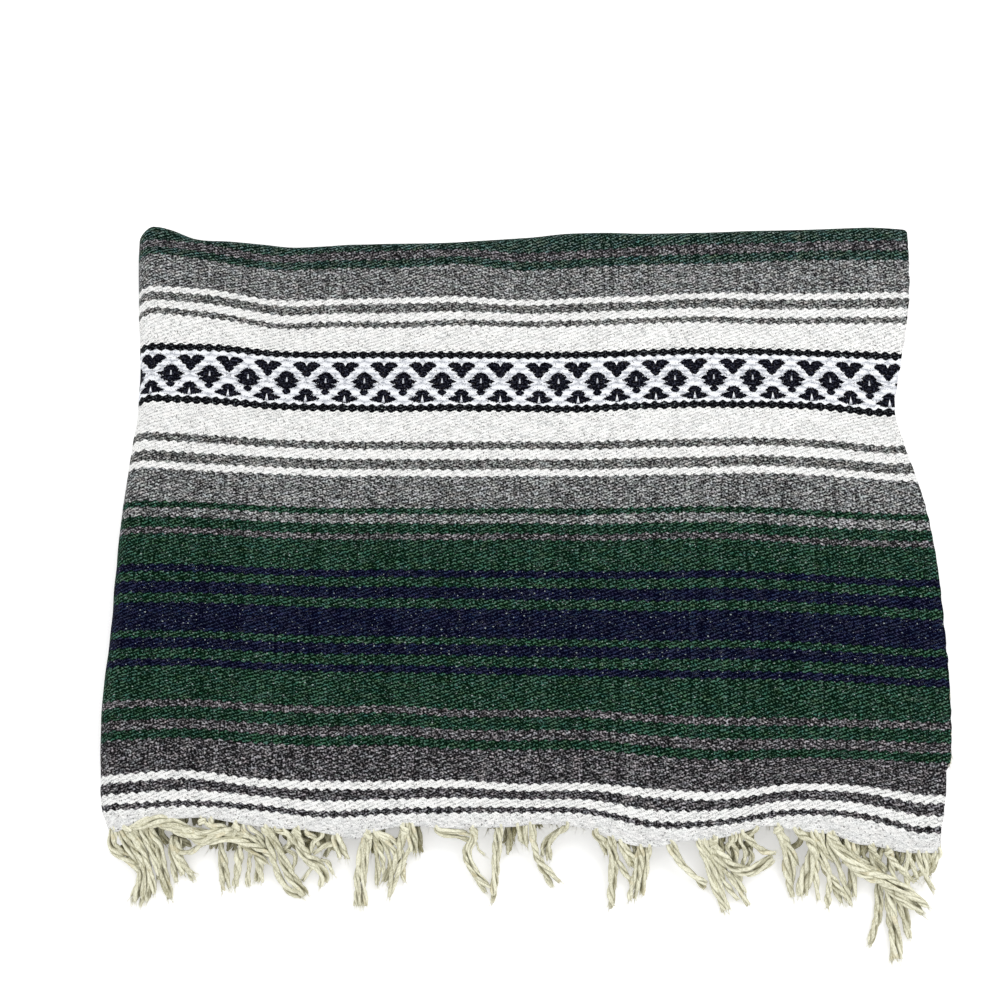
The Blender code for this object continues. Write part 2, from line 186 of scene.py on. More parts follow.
# Darkest and lightest shade of each yarn, as the eye sees them (sRGB, 0 to 255), and how its
# shades are spread between them: the middle, the reach and the power.
Yarn = namedtuple("Yarn", "dark light level spread power")
YARNS = {
    WHITE: Yarn((148, 149, 150), (255, 255, 253), 0.82, 1.0, 1.0),
    DARK: Yarn((16, 16, 17), (198, 199, 197), 0.485, 0.41, 2.4),
    GREY: Yarn((12, 11, 13), (203, 205, 205), 0.505, 0.41, 2.4),
    CHARCOAL: Yarn((18, 17, 19), (187, 184, 188), 0.275, 0.48, 2.0),
    GREEN: Yarn((0, 20, 8), (79, 116, 98), 0.14, 0.87, 2.0),
    NAVY: Yarn((0, 0, 20), (52, 59, 85), 0.02, 1.0, 1.8),
    BLACK: Yarn((0, 0, 3), (100, 104, 109), 0.06, 1.0, 2.0),
    SAGE: Yarn((0, 19, 11), (109, 134, 126), 0.125, 0.88, 2.0),
}

# Noises in the cloth: their grain across and along it, seed, detail and roughness.
Grain = namedtuple("Grain", "across along seed detail roughness", defaults=(0.0, 0.5))
SLOW = Grain(23.0, 14.0, 0, 2.0)
WANDER = Grain(6.0, 3.0, 0, 1.0)
FIBRES = Grain(1.1, 0.7, 0, 1.0, 0.7)
LUMPS = Grain(1.5, 1.2, 3)
CLUMPS = Grain(4.5, 1.6, 7, 1.0)
FINE = Grain(0.8, 0.7, 11)
RAGGED = Grain(1.3, 0.8, 21)
DASHES = Grain(1.9, 0.7, 22)
NEPS = Grain(1.6, 1.4, 31)
FLECKS = Grain(2.0, 1.5, 35)
RED_TINT = Grain(9.0, 5.0, 50, 1.0)
BLUE_TINT = Grain(9.0, 5.0, 60, 1.0)

# Up to here from the hem the cloth is pressed flat, and its ridges are lower.
FLATTENED = 13.0
# Fibres that peek out: their seed and how rare they are. Neps: their patches' size and seed.
PEEK_SEED, PEEK_RARITY = 40.0, 0.97
NEP_PATCH, NEP_SEED = 4.0, 5.0

# Black floats of the diamond band: which column they stand in, their height in the cloth from the
# hem, half length and half height.
Float = namedtuple("Float", "column at half_length half_height")
VEE, WING, DIAMOND = range(3)
FLOATS = (
    Float(WING, 371.9, 6.3, 3.1),
    Float(VEE, 368.5, 8.4, 3.8),
    Float(VEE, 364.6, 4.2, 3.6),
    Float(DIAMOND, 361.9, 6.8, 4.3),
    Float(DIAMOND, 358.0, 11.7, 3.7),
    Float(DIAMOND, 353.9, 9.1, 3.5),
    Float(DIAMOND, 348.6, 3.8, 2.9),
    Float(VEE, 347.6, 6.2, 3.8),
    Float(VEE, 343.0, 11.7, 3.5),
)
FIRST_VEE = -18.3
WING_CENTRE = 5.3
ROW_PITCH = 4.75
ROW_MIDDLE = 358.0

# The black lines along the band: place, half width, depth of the scallops, and the white beyond.
Edge = namedtuple("Edge", "at half_width scallop margin")
LOW_LINE = Edge(335.15, 2.9, 0.85, 3.6)
HIGH_LINE = Edge(381.05, 2.7, 0.8, 3.3)

# White notches in the black floats: over and under each vee, with their slopes, and a leaning slit
# in each diamond.
HIGH_NOTCH, HIGH_NOTCH_SLOPE = 371.2, 2.0
LOW_NOTCH, LOW_NOTCH_SLOPE, LOW_NOTCH_END = 346.2, 4.6, 340.2
SLIT_FROM, SLIT_TO, SLIT_HALF_WIDTH = 356.7, 360.7, 0.75
SLIT_MIDDLE, SLIT_LEAN = 357.0, 0.1

# Colours (sRGB, 0 to 255): of fibres that peek out, the band's ground, dashes and ink, neps and
# flecks, and of the fringe's cotton, its ochre patches and the painted shade in its grooves.
PEEK = (190, 198, 202)
GROUND_DARK, GROUND_LIGHT = (160, 164, 174), (246, 248, 252)
DASH = (50, 52, 66)
INK_DARK, INK_LIGHT = (0, 0, 5), (82, 85, 102)
NEP = (66, 62, 60)
FLECK = (196, 210, 206)
COTTON_DARK, COTTON_LIGHT = (142, 136, 96), (253, 251, 228)
OCHRE = (214, 186, 120)
GROOVE_SHADE = (112, 106, 70)

# Fringe strands of the top layer: yarns in each, their size, how far it is lifted over others,
# its path from root to tip as x and y by turns, and whether it is knotted at the hem.
Bundle = namedtuple("Bundle", "yarns size lift path knotted", defaults=(False,))
BUNDLES = (
    (2, 1.0, 1, (-308, -4, -309, -12, -304, -18, -295, -24, -289, -32)),
    (4, 0.85, 2, (-297, 2, -293, -10, -288, -21, -286, -34, -291, -56), True),
    (2, 0.95, 1, (-295, 0, -289, -12, -284, -24, -282, -37, -281, -53)),
    (2, 0.95, 0, (-302, 0, -299, -10, -294, -20, -289, -34, -297, -54)),
    (2, 0.95, 0, (-280, -3, -275, -12, -274, -23, -271, -37, -267, -51)),
    (2, 0.9, 1, (-285, -3, -281, -14, -277, -26, -276, -39)),
    (2, 1.0, 2, (-263, -5, -265, -12, -264, -21, -259, -38)),
    (2, 1.0, 1, (-259, -6, -261, -16, -256, -27, -248, -36)),
    (1, 0.95, 3, (-263, -7, -259, -16, -252, -17, -245, -13, -239, -9)),
    (4, 0.95, 5, (-291, 3, -273, 5, -251, -3, -240, -7, -227, -5, -213, -7, -202, -13, -191, -22)),
    (2, 0.9, 4, (-297, 2, -280, 6, -265, 5, -254, 0, -238, -3, -219, -3, -206, -8)),
    (1, 0.9, 2, (-241, 8, -236, 2, -227, -1, -217, -3), True),
    (1, 0.85, 1, (-234, 3, -226, 2, -218, -4)),
    (1, 0.9, 3, (-215, 2, -218, -4, -224, -7, -234, -7), True),
    (2, 0.95, 0, (-228, -9, -228, -17, -227, -30, -224, -45)),
    (1, 1.35, 0, (-212, -10, -215, -21, -216, -32, -218, -42)),
    (1, 0.8, 0, (-205, -12, -207, -22, -208, -32, -208, -42)),
    (2, 1.05, 0, (-203, -15, -200, -23, -200, -33, -201, -42)),
    (1, 0.85, 1, (-210, -1, -204, -7, -197, -13, -193, -20)),
    (1, 0.85, 1, (-205, 1, -198, -5, -194, -13)),
    (1, 1.1, 3, (-193, 2, -190, -12, -188, -24, -183, -36, -176, -45, -167, -49), True),
    (2, 0.95, 4, (-191, 2, -186, -10, -181, -22, -176, -33, -169, -42, -163, -50)),
    (1, 0.85, 2, (-186, -1, -177, -4, -175, -10, -181, -15)),
    (1, 0.85, 2, (-179, -15, -172, -19, -172, -24, -175, -30)),
    (1, 0.8, 1, (-179, -1, -174, -7, -171, -13)),
    (2, 1.0, 3, (-170, 0, -168, -12, -163, -21, -154, -28, -150, -35, -152, -44), True),
    (1, 0.95, 4, (-158, -18, -153, -15, -147, -12, -140, -10)),
    (1, 0.8, 0, (-167, -38, -162, -31, -155, -25)),
    (2, 1.05, 2, (-140, -6, -138, -13, -136, -20, -136, -26)),
    (1, 0.75, 0, (-153, -22, -147, -25, -144, -33)),
    (1, 0.85, 1, (-163, -3, -156, -7, -154, -14)),
    (1, 0.8, 1, (-151, -6, -158, -10, -160, -17)),
    (4, 0.75, 3, (-116, -2, -118, -12, -121, -26, -122, -41, -122, -58), True),
    (1, 0.95, 2, (-119, -4, -123, -19, -125, -36, -124, -52)),
    (1, 0.8, 1, (-112, -3, -111, -14, -110, -29, -110, -41)),
    (1, 0.8, 2, (-112, -3, -108, -13, -106, -24, -105, -33)),
    (1, 0.8, 1, (-111, -2, -104, -11, -101, -21, -101, -30)),
    (1, 0.8, 2, (-110, -2, -101, -10, -97, -17, -96, -24)),
    (1, 0.8, 1, (-110, -1, -99, -7, -93, -13, -91, -20)),
    (2, 1.0, 3, (-89, 0, -91, -8, -94, -19, -100, -31, -104, -41), True),
    (2, 0.9, 2, (-84, -2, -83, -10, -83, -18)),
    (1, 0.95, 4, (-84, -12, -92, -27, -97, -40, -101, -50)),
    (1, 0.9, 1, (-89, -25, -91, -32, -89, -39)),
    (1, 0.9, 1, (-65, -1, -58, -5, -49, -6, -40, -9)),
    (1, 0.9, 2, (-64, 0, -55, -2, -46, -3, -39, -5)),
    (3, 0.75, 2, (-37, -3, -37, -8, -42, -16, -40, -26, -33, -37, -26, -44), True),
    (1, 0.6, 1, (-35, -10, -33, -16, -29, -19)),
    (2, 0.9, 1, (-18, 0, -19, -12, -21, -30, -23, -54)),
    (2, 0.95, 0, (-2, -1, -1, -7, 2, -13)),
    (1, 0.85, 0, (2, -1, 2, -7, 3, -13)),
    (2, 1.0, 2, (7, 0, 8, -10, 11, -21, 17, -30, 26, -42)),
    (2, 0.9, 1, (33, 2, 26, -3, 20, -8, 17, -14, 17, -23)),
    (2, 0.95, 1, (55, -4, 61, -11, 67, -21)),
    (2, 0.95, 2, (66, -7, 68, -19, 68, -34, 67, -47, 66, -60)),
    (1, 0.95, 1, (73, -10, 77, -19, 81, -27)),
    (2, 0.9, 2, (88, -13, 88, -24, 85, -37, 82, -56)),
    (2, 0.9, 1, (94, -12, 92, -23, 90, -34, 88, -50)),
    (1, 0.85, 0, (69, -20, 74, -27, 82, -39)),
    (1, 0.85, 0, (77, -13, 85, -24, 84, -36)),
    (2, 0.95, 1, (110, -9, 117, -22, 126, -32, 139, -42)),
    (1, 0.85, 2, (132, -11, 138, -24, 144, -43, 152, -60)),
    (1, 0.85, 3, (134, -11, 141, -24, 149, -42, 155, -59)),
    (1, 0.85, 2, (137, -11, 145, -24, 153, -40, 162, -52)),
    (1, 0.85, 3, (139, -11, 149, -26, 160, -40, 170, -56)),
    (1, 0.85, 2, (141, -11, 154, -26, 162, -37, 167, -47)),
    (1, 0.8, 1, (136, -12, 142, -27, 147, -46, 150, -61)),
    (1, 1.0, 4, (143, -9, 145, -14, 150, -17), True),
    (2, 0.95, 5, (145, -13, 151, -21, 160, -29, 171, -31, 181, -26, 191, -19)),
    (1, 0.9, 4, (165, -4, 172, -10, 180, -16, 191, -18)),
    (1, 0.8, 1, (157, -9, 161, -17, 160, -27)),
    (1, 0.8, 1, (164, -9, 168, -17, 165, -27)),
    (1, 0.8, 0, (171, -13, 173, -20, 169, -29)),
    (1, 0.8, 0, (160, -29, 164, -35, 163, -42)),
    (1, 0.85, 2, (159, -7, 154, -13, 156, -20)),
    (1, 0.85, 3, (176, 0, 171, -4, 165, -6)),
    (1, 1.1, 2, (191, 0, 197, -15, 200, -34, 203, -50), True),
    (1, 1.0, 1, (194, -2, 202, -14, 207, -26)),
    (1, 0.9, 0, (193, -3, 201, -17, 204, -31, 203, -45)),
    (2, 1.2, 4, (206, -1, 214, -7, 218, -17, 216, -28, 212, -40, 209, -53)),
    (1, 1.0, 3, (217, -4, 221, -19, 221, -36, 222, -52)),
    (1, 1.0, 4, (220, -4, 226, -19, 231, -37, 229, -58)),
    (1, 0.9, 2, (224, -4, 228, -16, 234, -24)),
    (2, 0.95, 2, (223, -20, 230, -32, 237, -43, 244, -56)),
    (1, 0.95, 3, (230, -10, 237, -24, 242, -40, 247, -56)),
    (4, 0.9, 7, (232, -7, 243, -21, 255, -31, 273, -38, 289, -48, 303, -60), True),
    (2, 0.95, 6, (249, -25, 258, -32, 271, -40, 286, -51, 300, -59)),
    (1, 0.95, 6, (243, -17, 256, -26, 273, -35, 290, -43)),
    (2, 0.95, 0, (244, -9, 247, -23, 249, -37, 248, -53)),
    (2, 0.95, 2, (262, -15, 265, -22, 269, -29, 274, -37), True),
    (1, 1.0, 3, (274, -18, 280, -25, 287, -32, 296, -39), True),
    (1, 0.9, 1, (277, -23, 279, -32, 281, -40)),
    (1, 0.9, 2, (289, -18, 293, -27, 297, -37)),
    (1, 0.9, 1, (290, -20, 288, -30, 291, -43)),
    (1, 0.9, 1, (297, -20, 301, -29, 309, -45)),
    (1, 0.85, 2, (302, -20, 304, -27, 303, -37)),
    (2, 0.85, 1, (309, -4, 311, -12, 310, -21, 305, -28)),
    (1, 0.9, 0, (249, -17, 259, -25, 268, -30)),
    (1, 0.9, 0, (252, -22, 263, -29, 272, -35)),
    (2, 0.9, 0, (269, -39, 269, -52, 266, -68, 258, -88)),
    (3, 0.95, 1, (275, -38, 277, -56, 279, -77, 279, -98)),
    (2, 0.95, 0, (279, -36, 285, -52, 288, -67, 289, -80)),
)

# Where yarns of the second layer's fringe are seen under the hem: from x to x.
UNDER_SPANS = (
    (-306, -253), (-232, -214), (-198, -142), (-114, -102), (-90, -82), (-15, 0),
    (76, 90), (140, 176), (203, 213), (221, 264), (270, 312),
)

# Where threads of the selvedge are pulled into small loops.
PULLED_THREADS = (45, 46.5, 48, 50, 51, 53, 54.5, 56, 59, 61, 64, 66, 69, 96, 99, 101)

# Yarn of the fringe: two soft plies, and strands of up to four yarns laid round each other.
PLY_RADIUS = 1.72
PLY_OFFSET = 0.98
PLY_SIDES = 8
TWIST_LENGTH = 26.0
YARN_STEP = 1.7
TIP_LENGTH = 2.6
ROOT_LENGTH = 8.0
ROOT_SHARE = 0.55
STRAND_RADII = {1: 0.0, 2: 1.75, 3: 2.5, 4: 3.1}
STRAND_TWIST = 130.0
FUZZ_SPACING = 11.0

# How strands fall from the hem to the floor, and how the lower fringes lie.
FLOOR_CLEARANCE = 2.95
FALL_REACH = 48.0
FALL_POWER = 1.8
ROOT_REACH = 9.0
STRAND_FLOOR = 3.0
LIFT_STEP = 0.9
KNOT_SIZE = 0.72
LOW_PITCH = 15.0
LOW_HEIGHT = 3.1
UNDER_HEIGHT = 19.0

# Shader values of the cloth, the cotton and the floor's paper.
CLOTH_SURFACE = {
    "Roughness": 0.93,
    "Specular IOR Level": 0.03,
    "Sheen Weight": 0.015,
    "Sheen Roughness": 0.5,
}
COTTON_SURFACE = {"Roughness": 0.88, "Specular IOR Level": 0.1, "Sheen Weight": 0.08}
PAPER_SURFACE = {
    "Base Color": (0.93, 0.93, 0.93, 1),
    "Roughness": 0.9,
    "Specular IOR Level": 0.1,
    "Emission Color": (1, 1, 1, 1),
    "Emission Strength": 0.38,
}

# The floor and the key light, in metres.
FLOOR_REACH, FLOOR_Z = 6.0, -0.0002
KEY_PLACE, KEY_AIM = (0.75, 0.75, 1.7), (0, 0.05, 0)

# How strong the fringe's painted shade is: where a yarn faces down or sideways, and between
# plies and yarns.
SIDE_SHADE = 0.85
SIDE_START = 0.45
GROOVE_SHADE_POWER = 1.2
YARN_GROOVE_SHADE = 0.8


def mix(a, b, t):
    return a + (b - a) * t


def smooth(keys, values, at):
    """Values at the given keys, on a smooth curve through the table's rows."""
    keys, values = np.asarray(keys, float), np.asarray(values, float)
    at = np.clip(np.asarray(at, float), keys[0], keys[-1])
    i = np.clip(np.searchsorted(keys, at) - 1, 0, len(keys) - 2)
    before = np.maximum(np.arange(len(keys)) - 1, 0)
    after = np.minimum(np.arange(len(keys)) + 1, len(keys) - 1)
    slopes = (values[after] - values[before]) / (keys[after] - keys[before])
    span = keys[i + 1] - keys[i]
    t = (at - keys[i]) / span
    rise = values[i + 1] - values[i]
    bend0 = slopes[i] * span - rise
    bend1 = rise - slopes[i + 1] * span
    return values[i] + rise * t + t * (1 - t) * (bend0 * (1 - t) + bend1 * t)


hem = partial(smooth, END_X, HEM)
back = partial(smooth, END_X, BACK)
left_fold = partial(smooth, SIDE_Y, LEFT)


def right_edge(y):
    eased = np.clip((y - NOTCH_END) / NOTCH_EASE, 0, 1)
    notch = NOTCH_DEPTH * np.clip((NOTCH_START - y) / NOTCH_STEP, 0, 1) * eased
    return smooth(SIDE_Y, RIGHT, y) - notch


def selvedge(y):
    """The top layer's right edge, with its small waves."""
    return right_edge(y) + ripple(y, np.zeros(1), SELVEDGE_RIPPLE)


def weave_at(x, y):
    """How far along the cloth from the hem the point (x, y) of its flat part lies."""
    places = [line.y + float(smooth(STATIONS, line.bows, x)) for line in LINES]
    places = [min(float(hem(x)), places[0] - 1.0)] + places
    lines = [LINES[0].v - places[1] + places[0]] + [line.v for line in LINES]
    end = max(np.max(y), places[-1] + 1.0)
    return smooth(places + [end], lines + [lines[-1] + end - places[-1]], y)


def ripple(x, y, waves, number=0):
    """A sum of waves in all directions; number tells apart those that share a ripple's sizes."""
    rng = random.Random(waves.seed + number)
    total = np.zeros(np.broadcast(x, y).shape)
    for _ in range(RIPPLE_WAVES):
        angle = rng.uniform(0, math.tau)
        step = math.tau / (waves.length * rng.uniform(0.7, 1.6))
        phase = rng.uniform(0, math.tau)
        total = total + np.sin(step * (x * math.cos(angle) + y * math.sin(angle)) + phase)
    return total * waves.height / math.sqrt(RIPPLE_WAVES)


def crease_height(x, y):
    total = 0.0
    for x0, y0, x1, y1, reach, height in CREASES:
        dx, dy = x1 - x0, y1 - y0
        along = ((x - x0) * dx + (y - y0) * dy) / (dx * dx + dy * dy)
        on = np.clip(along, 0, 1)
        away = np.hypot(x - x0 - on * dx, y - y0 - on * dy)
        past = np.clip(np.abs(along - 0.5) - CREASE_LEVEL, 0, None)
        fade = np.exp(-((past / CREASE_FADE) ** 2))
        total = total + height * fade * np.exp(-((away / reach) ** 2))
    return total


def lift_of(x, y):
    """How far the top layer's upper face stands over the flat pile."""
    lift = crease_height(x, y)
    for waves in TOP_RIPPLES:
        lift = lift + ripple(x, y, waves)
    for x0, y0, reach_x, reach_y, height in SWELLS:
        away = ((x - x0) / reach_x) ** 2 + ((y - y0) / reach_y) ** 2
        lift = lift + height * np.exp(-away)
    over = np.clip((OVERHANG - y) / OVERHANG, 0, None)
    return lift - DROOP * over**DROOP_POWER


def add_object(name, data):
    obj = bpy.data.objects.new(name, data)
    bpy.context.scene.collection.objects.link(obj)
    return obj


def add_mesh(name, points, faces, cloth, groove=None):
    """A named mesh object from points in the source's millimetres, with its attributes."""
    mesh = bpy.data.meshes.new(name)
    moved = (np.asarray(points, float).reshape(-1, 3) - CENTRE) * MM
    mesh.from_pydata(moved.tolist(), [], faces)
    mesh.validate()
    layer = mesh.attributes.new("cloth", "FLOAT_VECTOR", "POINT")
    layer.data.foreach_set("vector", np.asarray(cloth, np.float32).ravel())
    # Per point, how much painted shade a fringe yarn's colour gets.
    if groove is not None:
        layer = mesh.attributes.new("groove", "FLOAT", "POINT")
        layer.data.foreach_set("value", np.asarray(groove, np.float32).ravel())
    mesh.shade_smooth()
    return add_object(name, mesh)


def quads(at):
    """The quads between neighbours in a grid of vertex numbers."""
    corners = (at[:-1, :-1], at[1:, :-1], at[1:, 1:], at[:-1, 1:])
    return np.stack(corners, axis=-1).reshape(-1, 4).tolist()


def tube_faces(rings, sides, first=0):
    """Quads between closed rings of vertices, and a cap at each end."""
    at = first + np.arange(rings * sides).reshape(rings, sides)
    after = np.roll(at, -1, axis=1)
    walls = np.stack([at[:-1], after[:-1], after[1:], at[1:]], axis=-1)
    return walls.reshape(-1, 4).tolist() + [at[0, ::-1].tolist(), at[-1].tolist()]


def roll_rows(centre, inward):
    """(y, depth, share of a lift) for the rows round the back roll, whose middle lies at centre."""
    radius = BACK_RADIUS - inward
    turn = np.pi * np.arange(ROLL_ROWS + 1) / ROLL_ROWS
    y = centre[None, :] + radius * np.sin(turn)[:, None]
    depth = BACK_RADIUS - radius * np.cos(turn)
    return y, depth, ((1 + np.cos(turn)) / 2) ** 2


def outer_columns(nominal, shift_front, shift_back, inward, bow_share):
    """y, depth below the top, share of the lifts and v of the outer layer, as (columns, rows)."""
    front, end = hem(nominal), back(nominal) - BACK_RADIUS
    share = ((np.arange(FLAT_ROWS) / FLAT_ROWS) ** HEM_CROWDING)[:, None]
    flat = mix(front, end, share)
    true_v = np.stack([weave_at(x, column_y) for x, column_y in zip(nominal, flat.T)], axis=1)
    true_end = np.array([float(weave_at(x, np.array(y))) for x, y in zip(nominal, end)])
    v_end = mix(V_LENGTH, true_end, bow_share)
    v_flat = mix(V_LENGTH * share, true_v, bow_share)
    flat = flat + mix(shift_front, shift_back, share)
    rolled, depth_roll, lifted_roll = roll_rows(end + shift_back, inward)
    turn = BACK_RADIUS * np.pi * np.arange(ROLL_ROWS + 1)[:, None] / ROLL_ROWS
    y = np.concatenate([flat, rolled], axis=0).T
    v = np.concatenate([v_flat, v_end + turn], axis=0).T
    depth = np.concatenate([np.full(FLAT_ROWS, float(inward)), depth_roll])
    lifted = np.concatenate([np.ones(FLAT_ROWS), lifted_roll])
    return y, depth[None, :], lifted[None, :], v


def outer_grid(inward):
    """Points (columns, rows, 3) and cloth coordinates of the outer layer, on one of its faces."""
    share = np.arange(TOP_COLUMNS + 1) / TOP_COLUMNS
    nominal = mix(HALF_WIDTH, SIDE_RADIUS - HALF_WIDTH, share)
    y, depth, lifted, v_top = outer_columns(nominal, 0.0, 0.0, inward, 1.0)
    edge = selvedge(y)
    x = mix(edge, left_fold(y) + SIDE_RADIUS, share[:, None])
    near_back = np.clip((y - back(nominal)[:, None] + CORNER_DEPTH) / CORNER_DEPTH, 0, 1)
    x = x - CORNER_CUT * (near_back * np.exp(-((edge - x) / CORNER_WIDTH))) ** 2
    lift = lift_of(x, y) * lifted * np.minimum(1, (1 - share[:, None]) * FOLD_FADE)
    drop = EDGE_DROP * np.exp(-(((edge - x) / EDGE_WIDTH) ** 2))
    drop = drop * (EDGE_INSIDE if inward else 1)
    top = np.stack([x, y, PILE - depth + lift - drop], axis=-1)
    top_u = x

    turned = np.arange(1, FOLD_COLUMNS) / FOLD_COLUMNS
    nominal = SIDE_RADIUS - HALF_WIDTH - SIDE_RADIUS * np.sin(np.pi * turned)
    front_shift = (BOTTOM_FRONT - hem(nominal)) * turned**2
    back_shift = -LOWER_SETBACK * turned
    y, depth, lifted, v_fold = outer_columns(nominal, front_shift, back_shift, inward, 1 - turned)
    angle = np.pi * turned[:, None]
    dent = ripple(y, angle * SIDE_RADIUS, FOLD_RIPPLE) * np.sin(angle)
    radius = SIDE_RADIUS - depth + dent * lifted
    middle = left_fold(y) + SIDE_RADIUS
    fold = np.stack(
        [middle - radius * np.sin(angle), y, SIDE_RADIUS + radius * np.cos(angle)], axis=-1
    )
    fold_u = middle - SIDE_RADIUS * angle

    share = np.arange(UNDER_COLUMNS + 1) / UNDER_COLUMNS
    nominal = mix(SIDE_RADIUS - HALF_WIDTH, HALF_WIDTH, share)
    front_shift = BOTTOM_FRONT - hem(nominal)
    y, depth, lifted, v_under = outer_columns(nominal, front_shift, -LOWER_SETBACK, inward, 0.0)
    middle = left_fold(y) + SIDE_RADIUS
    x = mix(middle, right_edge(y) - LOWER_SETBACK, share[:, None])
    under = np.stack([x, y, np.broadcast_to(depth, x.shape)], axis=-1)
    under_u = middle - SIDE_RADIUS * np.pi - (x - middle)

    points = np.concatenate([top, fold, under], axis=0)
    u = np.concatenate([top_u, fold_u, under_u], axis=0)
    v = np.concatenate([v_top, v_fold, v_under], axis=0)
    return points, np.stack([u, v, np.zeros_like(u)], axis=-1)


def outer_cloth():
    outside, cloth = outer_grid(0.0)
    inside, _ = outer_grid(CLOTH)
    points = np.concatenate([outside.reshape(-1, 3), inside.reshape(-1, 3)])
    cloths = np.concatenate([cloth.reshape(-1, 3)] * 2)
    out = np.arange(outside[..., 0].size).reshape(outside.shape[:2])
    within = out + out.size
    faces = quads(out) + [quad[::-1] for quad in quads(within)]
    for rim in (
        (out[::-1, 0], within[::-1, 0]),
        (within[::-1, -1], out[::-1, -1]),
        (out[0], within[0]),
        (within[-1], out[-1]),
    ):
        faces += quads(np.column_stack(rim))
    return add_mesh("outer_cloth", points, faces, cloths)


# The six inner layers, from the bottom, as in the source, and the stripe that each one's edge shows
# at the hem's line.
Inner = namedtuple("Inner", "front right joined_below stripe_shift")
INNER_LAYERS = (
    Inner(19, 4.5, False, 4),
    Inner(14, 2.0, False, 22),
    Inner(14, 3.2, True, 12),
    Inner(12, 1.6, False, -9),
    Inner(12, 3.6, True, 31),
    Inner(20, 2.2, False, 2),
)
EDGE_STEPS = 8
EDGE_DEPTH = 3.4
EDGE_POWER = 2.6
RING_STEP = 5.0
HEM_SHARE = 0.2
BACK_REACH = (-10, -5, 0, 5, 10)


def rounded(t):
    """How far back an edge lies, from 0 at its crest, where t is 0, to 1 where t is 1 or -1."""
    return 1 - math.sqrt(max(0.0, 1 - abs(t) ** EDGE_POWER))


def inner_pile():
    """The hidden layers: one solid whose right and front edges are rounded layer by layer."""
    low = CAD_CLOTH + GAP
    pitch = (PILE - 2 * low) / len(INNER_LAYERS)
    across = np.arange(HALF_WIDTH, SIDE_RADIUS - HALF_WIDTH, -RING_STEP)
    deep = np.arange(OVERHANG + SIDE_RADIUS, back(0) - PILE, RING_STEP)
    nearest = np.min([back(across + s) for s in BACK_REACH], axis=0)
    crest = nearest - LOWER_SETBACK - BACK_RADIUS - 1.0
    rings, cloths = [], []
    for k, layer in enumerate(INNER_LAYERS):
        next_joined = k + 1 < len(INNER_LAYERS) and INNER_LAYERS[k + 1].joined_below
        side_wave = np.abs(ripple(deep, np.zeros(1), LAYER_SIDE_RIPPLE, k))
        front_wave = np.abs(ripple(across, np.zeros(1), LAYER_FRONT_RIPPLE, k))
        for step in range(EDGE_STEPS + (k + 1 == len(INNER_LAYERS))):
            t = step / EDGE_STEPS
            z = low + (k + t) * pitch
            edge = rounded(2 * t - 1)
            front_edge = rounded(1 - t) if next_joined else edge
            front_edge = rounded(t) if layer.joined_below else front_edge
            right = right_edge(deep) - layer.right - side_wave - edge * EDGE_DEPTH
            front = layer.front + HEM_SHARE * hem(across) + front_wave + front_edge * EDGE_DEPTH
            bend = (SIDE_RADIUS - CAD_CLOTH - GAP) ** 2 - (z - SIDE_RADIUS) ** 2
            left = left_fold(deep) + SIDE_RADIUS - math.sqrt(max(0, bend)) + 1.0
            rise = (BACK_RADIUS - CAD_CLOTH - GAP) ** 2 - (min(z, PILE - z) - BACK_RADIUS) ** 2
            bump = math.sqrt(rise) if rise > 0 else -GAP
            back_x = np.concatenate([[right[-1] - 0.5], across[1:]])
            ring = np.concatenate([
                np.stack([right, deep], 1),
                np.stack([back_x, crest + bump], 1),
                np.stack([left, deep], 1)[::-1],
                np.stack([across, front], 1)[::-1],
            ])
            rings.append(np.concatenate([ring, np.full((len(ring), 1), z)], axis=1))
            shift = layer.stripe_shift
            level = np.full(len(ring), 1.0 + k)
            flat = np.stack([ring[:, 0] - edge * 3, ring[:, 1] + shift, level], 1)
            flat[: len(deep), 0] = right + (t - 0.5) * pitch
            flat[-len(across) :, 1] = shift + front[::-1] - 10 + t * pitch
            cloths.append(flat)
    faces = tube_faces(len(rings), len(rings[0]))
    return add_mesh("inner_layers", np.concatenate(rings), faces, np.concatenate(cloths))


